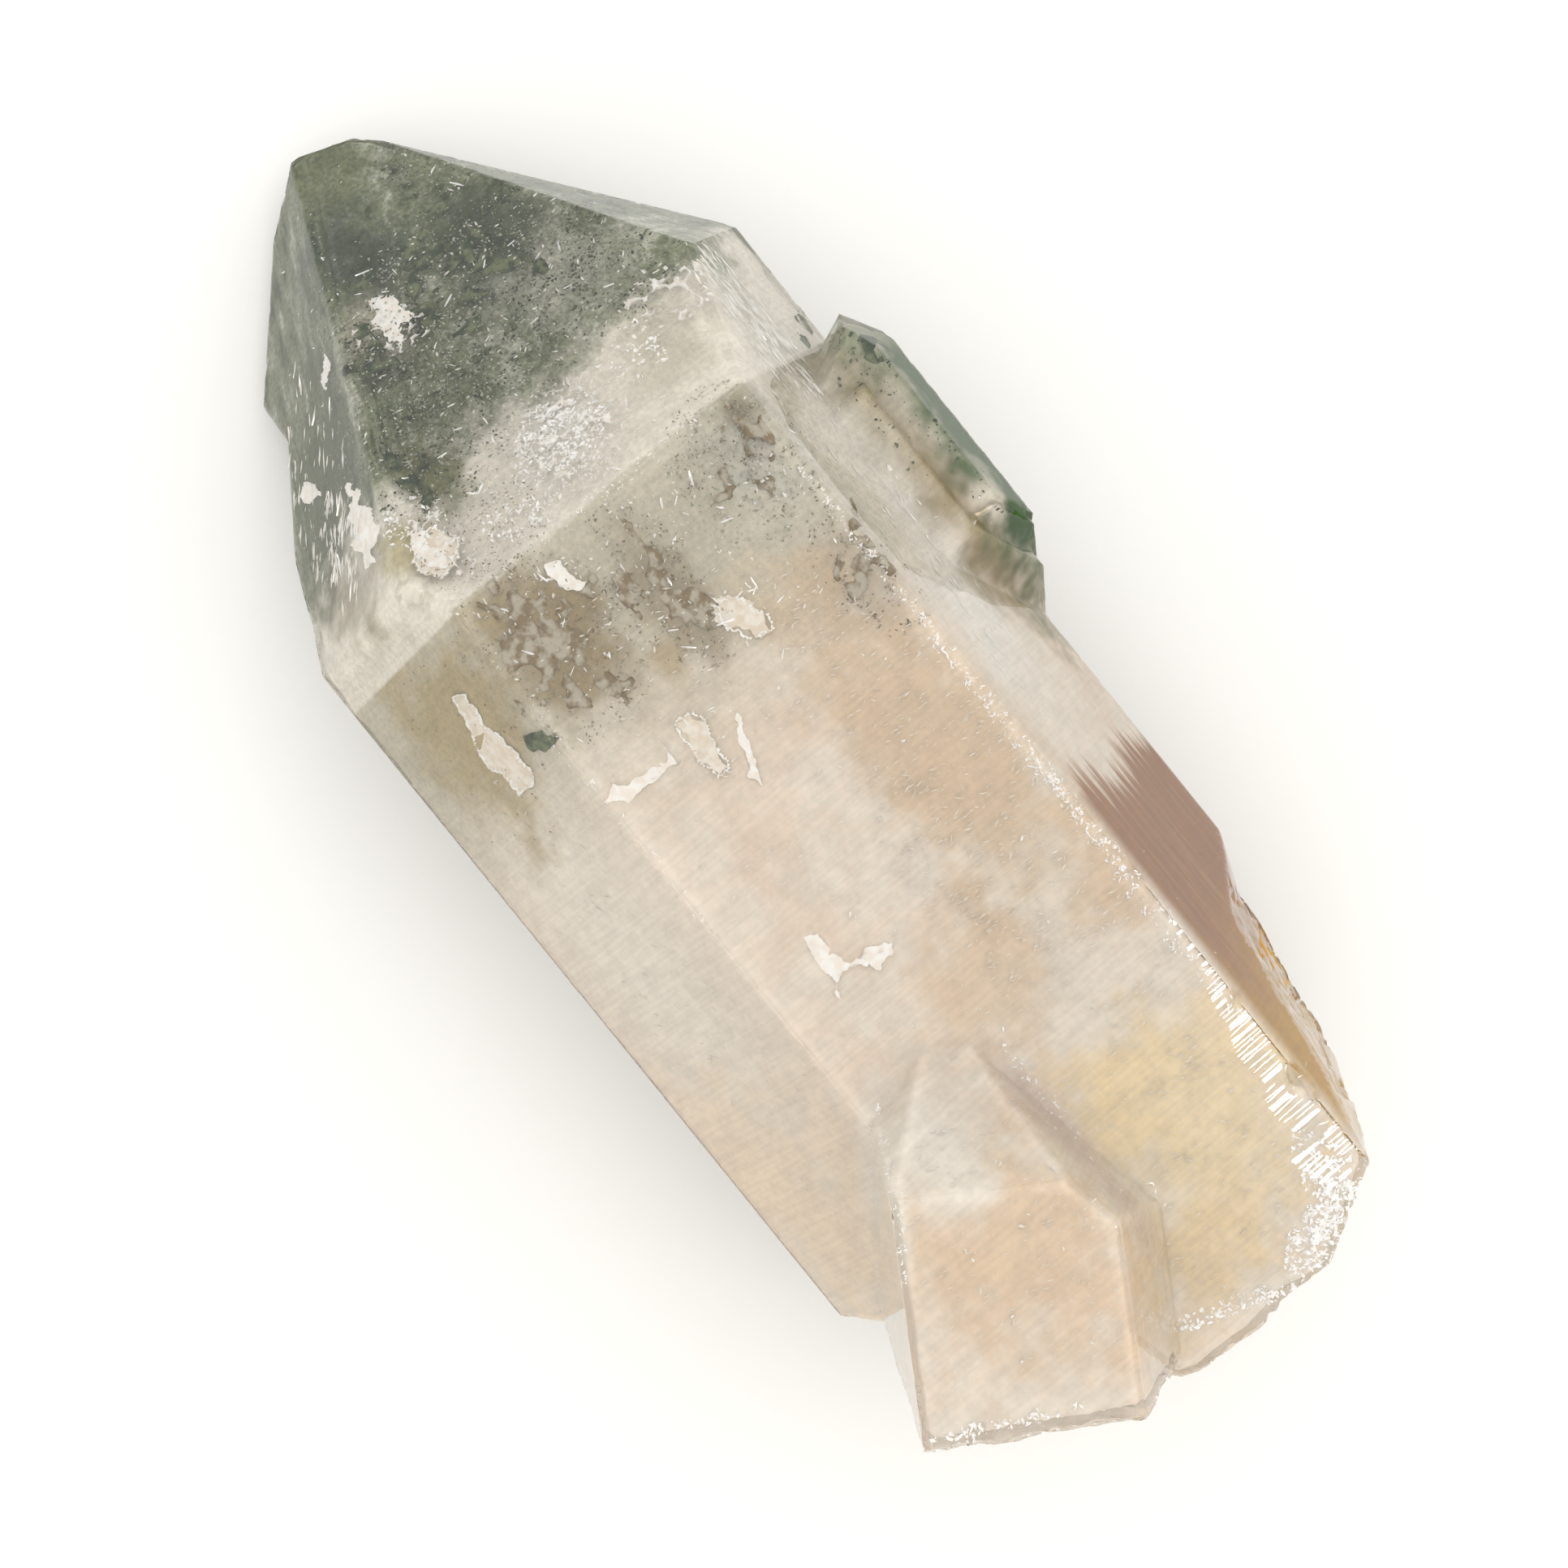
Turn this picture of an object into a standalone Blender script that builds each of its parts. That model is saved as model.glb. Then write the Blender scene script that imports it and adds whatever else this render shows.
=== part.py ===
"""A chlorite quartz crystal lying on one of its prism faces.

One large quartz crystal has three smaller ones grown along its side, another
grown across its front, and a rough broken base. All of it is one solid.

Shapes are described in the large crystal's own frame, in millimetres:
X runs along its long axis towards the tip, Z is square to its upper prism
face, and Y points to that face's left, so the long axis is the line Y = Z = 0.
A plane is a direction out of the stone and the plane's distance along it.
"""

import math

import bmesh
import bpy
from mathutils import Matrix, Vector, noise

MM = 0.001

# The block that facets are cut from, and its half for cutters that reach past the stone
BLOCK = 300.0
REACH = 40.0

# Quartz's own angle between a termination face's normal and the long axis
TIP_ANGLE = 51.79

# Prism faces of the large crystal: turn about the long axis, distance from it
PRISM_FACES = {
    "upper": (0.0, 14.2),
    "left_upper": (60.0, 16.26),
    "left_lower": (120.0, 15.4),
    "resting": (180.0, 14.2),
    "right_lower": (-120.0, 15.5),
    "right_upper": (-60.0, 15.92),
}

# Termination faces: turn about the long axis, and where the face meets that axis
TIP_FACES = {
    "upper": (0.0, 37.0),
    "left_upper": (60.0, 42.5),
    "left_lower": (120.0, 57.6),
    "resting": (180.0, 61.5),
    "right_upper": (-60.0, 47.9),
}

# One termination face is steeper than quartz's own angle: turn, angle, reach
STEEP_FACE = (-110.7, 64.1, 62.7)

# The tip ends in a short broken ridge
TIP_RIDGE = ((0.92, -0.32, 0.20), 43.75)

# Two ledges on the left silhouette, each the wedge beyond a wall and a long face
LEDGES = {
    "upper_ledge": (((0.053, 0.998, -0.040), 12.86), ((0.579, 0.814, 0.046), 28.80)),
    "lower_ledge": (((0.354, 0.935, 0.017), 24.46), ((0.501, 0.865, 0.033), 26.91)),
}

# The corner broken off beside the base, as the wedge beyond an end face and a long face
SCAR = (((-0.39, -0.88, 0.26), 23.5), ((-0.142, -0.949, 0.277), 18.95))
SCAR_CELL = 1.1
SCAR_ROUGHNESS = ((4.5, 0.32), (1.7, 0.13))

# The broken base: rough planes that the break steps between
BASE_PLANES = (
    ((-1.0, 0.0, 0.0), 40.4),
    ((-0.69, 0.72, 0.0), 31.9),
    ((-0.90, -0.43, 0.0), 38.4),
    ((-0.94, 0.12, -0.32), 43.0),
)
BASE_CELL = 0.95
BASE_HALF_WIDTH = 23.0
BASE_ROUGHNESS = ((8.5, 0.95), (3.2, 0.45), (1.4, 0.17))

# Faces that the three side crystals share, grown parallel to the large one on its right
SIDE_SHARED = {
    "under": ((0.0, -0.866, -0.5), 16.4),
    "bottom": ((0.0, 0.0, -1.0), 4.8),
    "inner": ((0.0, 1.0, 0.0), -8.0),
    "blunt_tip": ((0.874, 0.472, 0.10), 8.45),
    "back_tip": ((0.617, -0.399, -0.678), 16.8),
}

# How far each side crystal's shared faces lie inside the green one's
SIDE_INSETS = {"green_crystal": 0.0, "slab_crystal": 0.55, "wedge_crystal": 0.25}

# The green side crystal
GREEN_CRYSTAL = {
    "top": ((0.0, 0.0, 1.0), 6.2),
    "outer": ((0.0, -0.866, 0.5), 19.65),
    "bright_tip": ((0.326, -0.819, 0.473), 23.9),
    "lower_end": ((-0.80, 0.10, 0.59), -2.5),
}

# The brown slab between the green crystal and the large one
SLAB_CRYSTAL = {
    "top": ((0.0, 0.03, 1.0), 6.6),
    "outer": ((0.0, -0.866, 0.5), 18.0),
    "upper_end": ((0.747, 0.053, 0.662), 14.7),
    "lower_end": ((-0.706, -0.118, 0.699), 3.73),
}

# The small wedge crystal below the green one
WEDGE_CRYSTAL = {
    "top": ((-0.20, 0.10, 0.975), 2.9),
    "outer": ((0.0, -0.866, 0.5), 19.3),
    "upper_end": ((0.94, -0.10, 0.33), 8.2),
    "lower_end": ((-0.706, -0.218, 0.674), 4.9),
}

# The front crystal, grown across the edge between two upper prism faces
FRONT_CRYSTAL_TURN = -31.4
FRONT_CRYSTAL = {
    "front": ((0.0, 0.02, 1.0), 20.2),
    "left": ((0.0, 1.0, -0.02), -0.63),
    "right": ((0.0, -0.866, 0.5), 21.03),
    "right_lower": ((0.0, -0.866, -0.5), 9.2),
    "front_tip": ((0.619, 0.0, 0.786), 0.74),
    "right_tip": ((0.619, -0.680, 0.393), -0.41),
    "left_tip": ((0.619, 0.680, 0.393), -7.45),
    "back": ((0.0, 0.20, -1.0), -2.2),
    "lower_end": ((-1.0, 0.0, 0.0), 46.0),
}
FRONT_BREAK = ((-0.941, 0.0, -0.338), 28.9)
FRONT_BREAK_CENTRE = (-36.0, -8.0, 12.0)
FRONT_BREAK_CELL = 0.85
FRONT_BREAK_HALF_WIDTH = 16.0
FRONT_BREAK_ROUGHNESS = ((6.0, 0.55), (2.4, 0.34), (1.2, 0.14))

# Small chips along the sharp edges: centre and radius
CHIPS = (
    ((-31.5, -10.6, 14.6), 1.0),
    ((-25.2, -10.7, 14.7), 0.9),
    ((-16.5, -10.7, 14.75), 0.85),
    ((-9.0, -10.7, 14.8), 0.8),
    ((1.5, -10.6, 14.8), 0.75),
    ((12.5, -10.6, 14.8), 0.7),
    ((34.0, -14.4, -3.5), 0.9),
    ((48.9, -4.6, -7.9), 0.9),
    ((-22.0, 18.95, 1.9), 1.0),
    ((-9.5, 19.05, 1.9), 0.9),
    ((9.0, 19.05, 1.8), 0.9),
)
CHIP_ROUGHNESS = 0.35

STONE_COLOUR = (0.80, 0.74, 0.62, 1.0)
STONE_ROUGHNESS = 0.08
STONE_TRANSMISSION = 0.6
STONE_IOR = 1.544


def face_plane(turn, angle, reach):
    """Plane of a face turned about the long axis, which it meets at reach."""
    tilt = math.radians(angle)
    around = math.radians(turn)
    normal = (math.cos(tilt), math.sin(tilt) * math.sin(around), math.sin(tilt) * math.cos(around))
    return normal, reach * math.cos(tilt)


def beyond(plane):
    """The same plane seen from its other side."""
    normal, distance = plane
    return tuple(-part for part in normal), -distance


def roughness(point, layers, seed):
    """Height of a broken surface at a point: noise of several sizes."""
    height = 0.0
    for size, depth in layers:
        height += depth * noise.noise(Vector(point) / size + Vector((seed, 7.3 * seed, 0.0)))
        seed += 11.0
    return height


def cut_flat(mesh, plane):
    """Cut a closed mesh at a plane and close it with one flat face."""
    normal, distance = Vector(plane[0]), plane[1]
    length = normal.length
    normal = normal / length
    everything = list(mesh.verts) + list(mesh.edges) + list(mesh.faces)
    cut = bmesh.ops.bisect_plane(
        mesh, geom=everything, dist=1e-5, plane_co=normal * (distance / length), plane_no=normal, clear_outer=True
    )
    rim = [item for item in cut["geom_cut"] if isinstance(item, bmesh.types.BMEdge)]
    if rim:
        bmesh.ops.edgeloop_fill(mesh, edges=rim)


def faceted_mesh(planes):
    """A convex stone that keeps what lies inside every plane."""
    mesh = bmesh.new()
    bmesh.ops.create_cube(mesh, size=BLOCK)
    for plane in planes:
        cut_flat(mesh, plane)
    bmesh.ops.recalc_face_normals(mesh, faces=mesh.faces)
    return mesh


def as_object(name, mesh, collection):
    """Turn a working mesh into a named object and free it."""
    data = bpy.data.meshes.new(name)
    mesh.to_mesh(data)
    mesh.free()
    made = bpy.data.objects.new(name, data)
    collection.objects.link(made)
    return made


def as_cutter(name, mesh, cutters):
    """An object that only shapes another one."""
    cutter = as_object(name, mesh, cutters)
    cutter.hide_render = True
    cutter.display_type = "WIRE"
    return cutter


def combine(target, tool, operation):
    """Join a tool to the target or take it away."""
    step = target.modifiers.new(tool.name, "BOOLEAN")
    step.operation = operation
    step.solver = "EXACT"
    step.object = tool


def large_crystal_planes():
    """Every flat face of the large crystal but its broken base."""
    planes = [face_plane(turn, TIP_ANGLE, reach) for turn, reach in TIP_FACES.values()]
    planes.append(face_plane(*STEEP_FACE))
    planes.append(TIP_RIDGE)
    for turn, distance in PRISM_FACES.values():
        normal, _ = face_plane(turn, 90.0, 0.0)
        planes.append((normal, distance))
    return planes


def front_crystal_planes():
    """The front crystal's faces, turned from its own axis to the large one's."""
    turn = Matrix.Rotation(math.radians(FRONT_CRYSTAL_TURN), 3, "Z")
    return [(tuple(turn @ Vector(normal)), distance) for normal, distance in FRONT_CRYSTAL.values()]


def wedge_mesh(planes):
    """A block that fills the space beyond two planes, close to the stone."""
    sides = [beyond(plane) for plane in planes]
    middle = Vector(planes[0][0]) * planes[0][1]
    for axis in range(3):
        for sign in (-1.0, 1.0):
            direction = [0.0, 0.0, 0.0]
            direction[axis] = sign
            sides.append((tuple(direction), sign * middle[axis] + REACH))
    return faceted_mesh(sides)


def scar_mesh():
    """The rough wedge that takes the corner off beside the base."""
    mesh = wedge_mesh(SCAR)
    bmesh.ops.triangulate(mesh, faces=mesh.faces)
    for _ in range(7):
        long_edges = [edge for edge in mesh.edges if edge.calc_length() > SCAR_CELL * 2.0 and near_scar(edge)]
        if not long_edges:
            break
        bmesh.ops.subdivide_edges(mesh, edges=long_edges, cuts=1)
        bmesh.ops.triangulate(mesh, faces=mesh.faces)
    normal = Vector(SCAR[1][0])
    for vert in mesh.verts:
        vert.co += normal * roughness(vert.co, SCAR_ROUGHNESS, 3.0)
    return mesh


def near_scar(edge):
    """Whether an edge of the wedge lies where it cuts the stone."""
    middle = (edge.verts[0].co + edge.verts[1].co) / 2.0
    lift = max(Vector(plane[0]).dot(middle) - plane[1] for plane in SCAR)
    return lift < 6.0 and middle.length < 48.0


def rough_slab_mesh(direction, height, half_width, cell):
    """A slab facing against a direction, whose near side follows a height function."""
    facing = Vector(direction).normalized()
    turn = facing.to_track_quat("Z", "Y").to_matrix()
    count = int(2.0 * half_width / cell)
    mesh = bmesh.new()
    bmesh.ops.create_grid(mesh, x_segments=count, y_segments=count, size=half_width)
    for vert in mesh.verts:
        flat = turn @ vert.co
        vert.co = flat + facing * height(flat)
    far = bmesh.ops.extrude_face_region(mesh, geom=list(mesh.faces))
    for item in far["geom"]:
        if isinstance(item, bmesh.types.BMVert):
            item.co += facing * (BLOCK - facing.dot(item.co))
    bmesh.ops.recalc_face_normals(mesh, faces=mesh.faces)
    return mesh


def base_height(flat):
    """How far out the broken base lies at a point square to the long axis."""
    reach = min(
        (distance - normal[1] * flat.y - normal[2] * flat.z) / -normal[0] for normal, distance in BASE_PLANES
    )
    return reach + roughness((0.0, flat.y, flat.z), BASE_ROUGHNESS, 1.0)


def base_cutter(cutters):
    """What the broken base takes off the large crystal."""
    mesh = rough_slab_mesh((-1.0, 0.0, 0.0), base_height, BASE_HALF_WIDTH, BASE_CELL)
    return as_cutter("base_cutter", mesh, cutters)


def front_break_cutter(cutters):
    """What the break takes off the front crystal's lower end."""
    turn = Matrix.Rotation(math.radians(FRONT_CRYSTAL_TURN), 3, "Z")
    facing = turn @ Vector(FRONT_BREAK[0]).normalized()
    centre = turn @ Vector(FRONT_BREAK_CENTRE)

    def height(flat):
        return FRONT_BREAK[1] + roughness(flat, FRONT_BREAK_ROUGHNESS, 5.0)

    mesh = rough_slab_mesh(facing, height, FRONT_BREAK_HALF_WIDTH, FRONT_BREAK_CELL)
    shift = centre - facing * facing.dot(centre)
    bmesh.ops.translate(mesh, verts=mesh.verts, vec=shift)
    return as_cutter("front_break_cutter", mesh, cutters)


def chip_mesh():
    """All the small chips in one cutter."""
    mesh = bmesh.new()
    for number, (centre, radius) in enumerate(CHIPS):
        made = bmesh.ops.create_icosphere(mesh, subdivisions=2, radius=radius)
        for vert in made["verts"]:
            bump = noise.noise(vert.co * 1.3 + Vector((number * 5.1, 0.0, 0.0)))
            vert.co = vert.co * (1.0 + CHIP_ROUGHNESS * bump)
            vert.co.x *= 1.6
            vert.co += Vector(centre)
    return mesh


def build_large_crystal(parts, cutters):
    """The large crystal with its ledges, scar and broken base."""
    stone = as_object("quartz_crystal", faceted_mesh(large_crystal_planes()), parts)
    combine(stone, base_cutter(cutters), "DIFFERENCE")
    for name, planes in LEDGES.items():
        combine(stone, as_cutter(name, wedge_mesh(planes), cutters), "DIFFERENCE")
    combine(stone, as_cutter("scar_cutter", scar_mesh(), cutters), "DIFFERENCE")
    return stone


def build_front_crystal(cutters):
    """The front crystal with its broken lower end, ready to be joined."""
    crystal = as_cutter("front_crystal", faceted_mesh(front_crystal_planes()), cutters)
    combine(crystal, front_break_cutter(cutters), "DIFFERENCE")
    return crystal


def join_small_crystals(stone, cutters):
    """Grow the side crystals and the front crystal onto the large one."""
    side_crystals = {"green_crystal": GREEN_CRYSTAL, "slab_crystal": SLAB_CRYSTAL, "wedge_crystal": WEDGE_CRYSTAL}
    for name, planes in side_crystals.items():
        faces = [(normal, distance - SIDE_INSETS[name]) for normal, distance in SIDE_SHARED.values()]
        faces.extend(planes.values())
        crystal = as_cutter(name, faceted_mesh(faces), cutters)
        combine(stone, crystal, "UNION")
    combine(stone, build_front_crystal(cutters), "UNION")
    combine(stone, as_cutter("chips", chip_mesh(), cutters), "DIFFERENCE")


def settle(stone):
    """Apply every cut, then set the stone down centred on the origin, in metres."""
    evaluated = stone.evaluated_get(bpy.context.evaluated_depsgraph_get())
    mesh = bmesh.new()
    mesh.from_mesh(evaluated.to_mesh())
    evaluated.to_mesh_clear()
    stone.modifiers.clear()
    bmesh.ops.dissolve_limit(
        mesh, angle_limit=math.radians(0.05), use_dissolve_boundaries=False, verts=mesh.verts, edges=mesh.edges
    )
    bmesh.ops.remove_doubles(mesh, verts=mesh.verts, dist=0.01)
    bmesh.ops.dissolve_degenerate(mesh, edges=mesh.edges, dist=0.01)
    bmesh.ops.triangulate(mesh, faces=mesh.faces)
    across = [vert.co.x for vert in mesh.verts]
    deep = [vert.co.y for vert in mesh.verts]
    low = min(vert.co.z for vert in mesh.verts)
    middle = Vector(((min(across) + max(across)) / 2.0, (min(deep) + max(deep)) / 2.0, low))
    bmesh.ops.translate(mesh, verts=mesh.verts, vec=-middle)
    bmesh.ops.scale(mesh, verts=mesh.verts, vec=(MM, MM, MM))
    mesh.to_mesh(stone.data)
    mesh.free()


def quartz_material():
    """Clear to milky quartz."""
    material = bpy.data.materials.new("clear_to_milky_quartz")
    material.use_nodes = True
    shader = material.node_tree.nodes["Principled BSDF"]
    shader.inputs["Base Color"].default_value = STONE_COLOUR
    shader.inputs["Roughness"].default_value = STONE_ROUGHNESS
    shader.inputs["Metallic"].default_value = 0.0
    shader.inputs["Transmission Weight"].default_value = STONE_TRANSMISSION
    shader.inputs["IOR"].default_value = STONE_IOR
    material.diffuse_color = STONE_COLOUR
    return material


def new_collection(name):
    """A collection linked to the scene."""
    collection = bpy.data.collections.new(name)
    bpy.context.scene.collection.children.link(collection)
    return collection


def clear_scene():
    """Remove the objects that a new file starts with."""
    for item in list(bpy.data.objects):
        bpy.data.objects.remove(item)


def main():
    """Build the stone."""
    clear_scene()
    parts = new_collection("chlorite_quartz_crystal")
    cutters = new_collection("cutters")
    stone = build_large_crystal(parts, cutters)
    join_small_crystals(stone, cutters)
    settle(stone)
    for tool in list(cutters.objects):
        bpy.data.objects.remove(tool)
    stone.data.materials.append(quartz_material())


main()
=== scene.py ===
"""Looks of a chlorite quartz crystal: its clear skin, milky inside, chlorite and fractures.

Sizes are in millimetres unless a name says otherwise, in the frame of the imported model:
+X along the large crystal towards its tip, +Z up from the surface that it rests on.
"""

import logging
import math
from dataclasses import dataclass, replace
from enum import Enum

import bmesh
import bpy
import numpy as np
import openvdb
from mathutils import Matrix, Vector, noise
from mathutils.bvhtree import BVHTree
from mathutils.geometry import delaunay_2d_cdt


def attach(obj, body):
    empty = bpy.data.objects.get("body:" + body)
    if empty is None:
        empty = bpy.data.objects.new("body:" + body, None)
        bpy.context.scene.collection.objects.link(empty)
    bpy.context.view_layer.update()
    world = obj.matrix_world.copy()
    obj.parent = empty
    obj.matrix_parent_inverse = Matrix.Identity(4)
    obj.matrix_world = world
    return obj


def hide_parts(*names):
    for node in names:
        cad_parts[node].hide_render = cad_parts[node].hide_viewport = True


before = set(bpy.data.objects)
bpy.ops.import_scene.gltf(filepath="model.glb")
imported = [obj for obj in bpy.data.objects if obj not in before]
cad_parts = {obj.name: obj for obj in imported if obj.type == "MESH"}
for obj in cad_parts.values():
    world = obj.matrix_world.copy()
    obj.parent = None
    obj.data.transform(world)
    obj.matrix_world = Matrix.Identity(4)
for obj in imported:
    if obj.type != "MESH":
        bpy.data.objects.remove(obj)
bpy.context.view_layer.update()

MM = 0.001
CAD_NODE = "quartz_crystal"
BODY = "root"
# Light on a level face of the crystal, as a share of what shows a colour as it is
LIGHT_LEVEL = 1.34
Colour = tuple[float, float, float, float]
Plan = tuple[float, float]
Size = tuple[float, float, float]
Face = tuple[int, ...]
Socket = bpy.types.NodeSocket
LACUNARITY = 2.0
DOWN = Vector((0, 0, -1))
LOG = logging.getLogger("crystal")


class Slot(Enum):
    """Material slots that the growths and flakes are listed with."""

    QUARTZ = "quartz"
    CHLORITE = "chlorite"
    MILKY = "milky_veil"


def rgb(*seen: int) -> Colour:
    """Turn a colour seen on a screen into the linear colour that a shader takes.

    Args:
        *seen: Its red, green and blue from 0 to 255.

    Returns:
        The linear colour, with full opacity.
    """
    def linear(value: int) -> float:
        """Take one channel out of the screen's curve."""
        share = value / 255
        return share / 12.92 if share <= 0.04045 else ((share + 0.055) / 1.055) ** 2.4

    red, green, blue = (linear(value) for value in seen)
    return red, green, blue, 1.0


def under_skin(*seen: int) -> Colour:
    """Give the colour that an inner form needs to be seen as a colour through the clear skin.

    Light is thrown back at the skin from inside many times, which deepens every colour.

    Args:
        *seen: The seen red, green and blue from 0 to 255.

    Returns:
        The linear colour of the inner form.
    """
    mirrored, trapped = 0.045, 0.6
    darkest, palest = 0.001, 0.96
    thrown_back = np.maximum(np.array(rgb(*seen)[:3]) / LIGHT_LEVEL - mirrored, darkest)
    passed = thrown_back / ((1 - mirrored) * (1 - trapped))
    own = np.minimum(passed / (1 + trapped * passed), palest)
    return float(own[0]), float(own[1]), float(own[2]), 1.0


def hills(place: Vector, smoothness: float = 1.0, layers: int = 3) -> float:
    """Give the height of rolling random hills, around zero."""
    return noise.fractal(place, smoothness, LACUNARITY, layers)


def add_object(name: str, data: object) -> bpy.types.Object:
    """Put new data into the scene as an object."""
    thing = bpy.data.objects.new(name, data)
    bpy.context.scene.collection.objects.link(thing)
    return thing


def mesh_of(form: bmesh.types.BMesh, name: str) -> bpy.types.Mesh:
    """Turn an edited form into a mesh and let the form go."""
    mesh = bpy.data.meshes.new(name)
    form.to_mesh(mesh)
    form.free()
    return mesh


class ShaderGraph:
    """A material's nodes, with short calls for those that the finishes use."""

    def __init__(self, name: str) -> None:
        """Make an empty material.

        Args:
            name: Name of the material.
        """
        self.material = bpy.data.materials.new(name)
        self.material.use_nodes = True
        self.tree = self.material.node_tree
        self.tree.nodes.clear()
        self.output = self.tree.nodes.new("ShaderNodeOutputMaterial")
        self.place = self.tree.nodes.new("ShaderNodeTexCoord").outputs["Object"]

    def add(self, kind: str, **settings: object) -> bpy.types.Node:
        """Add a node and set its properties.

        Args:
            kind: Type name of the node.
            **settings: Properties and their values.

        Returns:
            The new node.
        """
        node = self.tree.nodes.new(kind)
        for key, value in settings.items():
            setattr(node, key, value)
        return node

    def feed(self, socket: Socket, source: object) -> None:
        """Give a socket a link or a plain value.

        Args:
            socket: The input to feed.
            source: An output socket, or a value to set.
        """
        if isinstance(source, Socket):
            self.tree.links.new(source, socket)
        else:
            socket.default_value = source

    def principled(self, **inputs: object) -> bpy.types.Node:
        """Add the main shader with its inputs and join it to the output.

        Args:
            **inputs: Input names with underscores for spaces, and their links or values.

        Returns:
            The shader node.
        """
        shader = self.add("ShaderNodeBsdfPrincipled")
        for name, source in inputs.items():
            self.feed(shader.inputs[name.replace("_", " ")], source)
        self.feed(self.output.inputs["Surface"], shader.outputs["BSDF"])
        return shader

    def scaled(self, size: Size, turn_deg: float = 0.0,
               centre: Size = (0.0, 0.0, 0.0)) -> Socket:
        """Give object coordinates from a centre, divided by a size.

        Args:
            size: Length of one unit along X, Y and Z in millimetres.
            turn_deg: Turn about Z in degrees.
            centre: The place that becomes zero, in millimetres.

        Returns:
            The vector output.
        """
        if not turn_deg:
            node = self.add("ShaderNodeVectorMath", operation="MULTIPLY_ADD")
            self.feed(node.inputs[0], self.place)
            node.inputs[1].default_value = [1 / (side * MM) for side in size]
            node.inputs[2].default_value = [-middle / side for middle, side in zip(centre, size)]
            return node.outputs["Vector"]
        mapping = self.add("ShaderNodeMapping", vector_type="TEXTURE")
        self.feed(mapping.inputs["Vector"], self.place)
        mapping.inputs["Location"].default_value = [middle * MM for middle in centre]
        mapping.inputs["Rotation"].default_value = (0, 0, math.radians(turn_deg))
        mapping.inputs["Scale"].default_value = [side * MM for side in size]
        return mapping.outputs["Vector"]

    def noise(self, size: object, detail: float = 3.0, roughness: float = 0.55,
              turn_deg: float = 0.0) -> Socket:
        """Add cloudy noise.

        Args:
            size: Size of its lumps in millimetres, one number or one for each axis.
            detail: How many finer layers it has.
            roughness: Strength of the finer layers.
            turn_deg: Turn about Z in degrees.

        Returns:
            The value output, from 0 to 1.
        """
        sides = size if isinstance(size, tuple) else (size, size, size)
        texture = self.add("ShaderNodeTexNoise")
        self.feed(texture.inputs["Vector"], self.scaled(sides, turn_deg))
        texture.inputs["Scale"].default_value = 1.0
        texture.inputs["Detail"].default_value = detail
        texture.inputs["Roughness"].default_value = roughness
        return texture.outputs["Fac"]

    def ramp(self, source: object, low: float, high: float,
             start: float = 0.0, end: float = 1.0) -> Socket:
        """Map a value from one range to another with soft ends.

        Args:
            source: The value.
            low: Value that gives start.
            high: Value that gives end.
            start: Result at low.
            end: Result at high.

        Returns:
            The mapped value.
        """
        node = self.add("ShaderNodeMapRange", interpolation_type="SMOOTHSTEP")
        for key, value in (("Value", source), ("From Min", low), ("From Max", high),
                           ("To Min", start), ("To Max", end)):
            self.feed(node.inputs[key], value)
        return node.outputs["Result"]

    def swing(self, source: object, spread: float, reach: float) -> Socket:
        """Turn noise into a swing around zero that is full at a spread from its middle."""
        return self.ramp(source, 0.5 - spread, 0.5 + spread, -reach, reach)

    def along(self, letter: str, span: Plan, start: float = 0.0, end: float = 1.0) -> Socket:
        """Go from one value to another between two places on an axis, in millimetres."""
        return self.ramp(self.axis(letter), span[0] * MM, span[1] * MM, start, end)

    def plus(self, first: object, second: object) -> Socket:
        """Add two values."""
        return self.math("ADD", first, second)

    def times(self, first: object, second: object) -> Socket:
        """Multiply two values."""
        return self.math("MULTIPLY", first, second)

    def math(self, operation: str, first: object, second: object = 0.0) -> Socket:
        """Combine two values.

        Args:
            operation: Name of the operation.
            first: First value.
            second: Second value.

        Returns:
            The result.
        """
        node = self.add("ShaderNodeMath", operation=operation)
        self.feed(node.inputs[0], first)
        self.feed(node.inputs[1], second)
        return node.outputs["Value"]

    def mix(self, share: object, first: object, second: object) -> Socket:
        """Mix two colours.

        Args:
            share: Share of the second colour.
            first: First colour.
            second: Second colour.

        Returns:
            The mixed colour.
        """
        node = self.add("ShaderNodeMix", data_type="RGBA")
        self.feed(node.inputs["Factor"], share)
        self.feed(node.inputs[6], first)
        self.feed(node.inputs[7], second)
        return node.outputs[2]

    def bump(self, height: object, distance_mm: float, strength: float = 1.0) -> Socket:
        """Turn a height into a bumped normal.

        Args:
            height: The height, from 0 to 1.
            distance_mm: Height of the full relief in millimetres.
            strength: Share of the relief that is used.

        Returns:
            The normal.
        """
        node = self.add("ShaderNodeBump")
        self.feed(node.inputs["Height"], height)
        node.inputs["Distance"].default_value = distance_mm * MM
        node.inputs["Strength"].default_value = strength
        return node.outputs["Normal"]

    def axis(self, letter: str) -> Socket:
        """Give one object coordinate in metres."""
        split = self.add("ShaderNodeSeparateXYZ")
        self.feed(split.inputs["Vector"], self.place)
        return split.outputs[letter]


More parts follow.
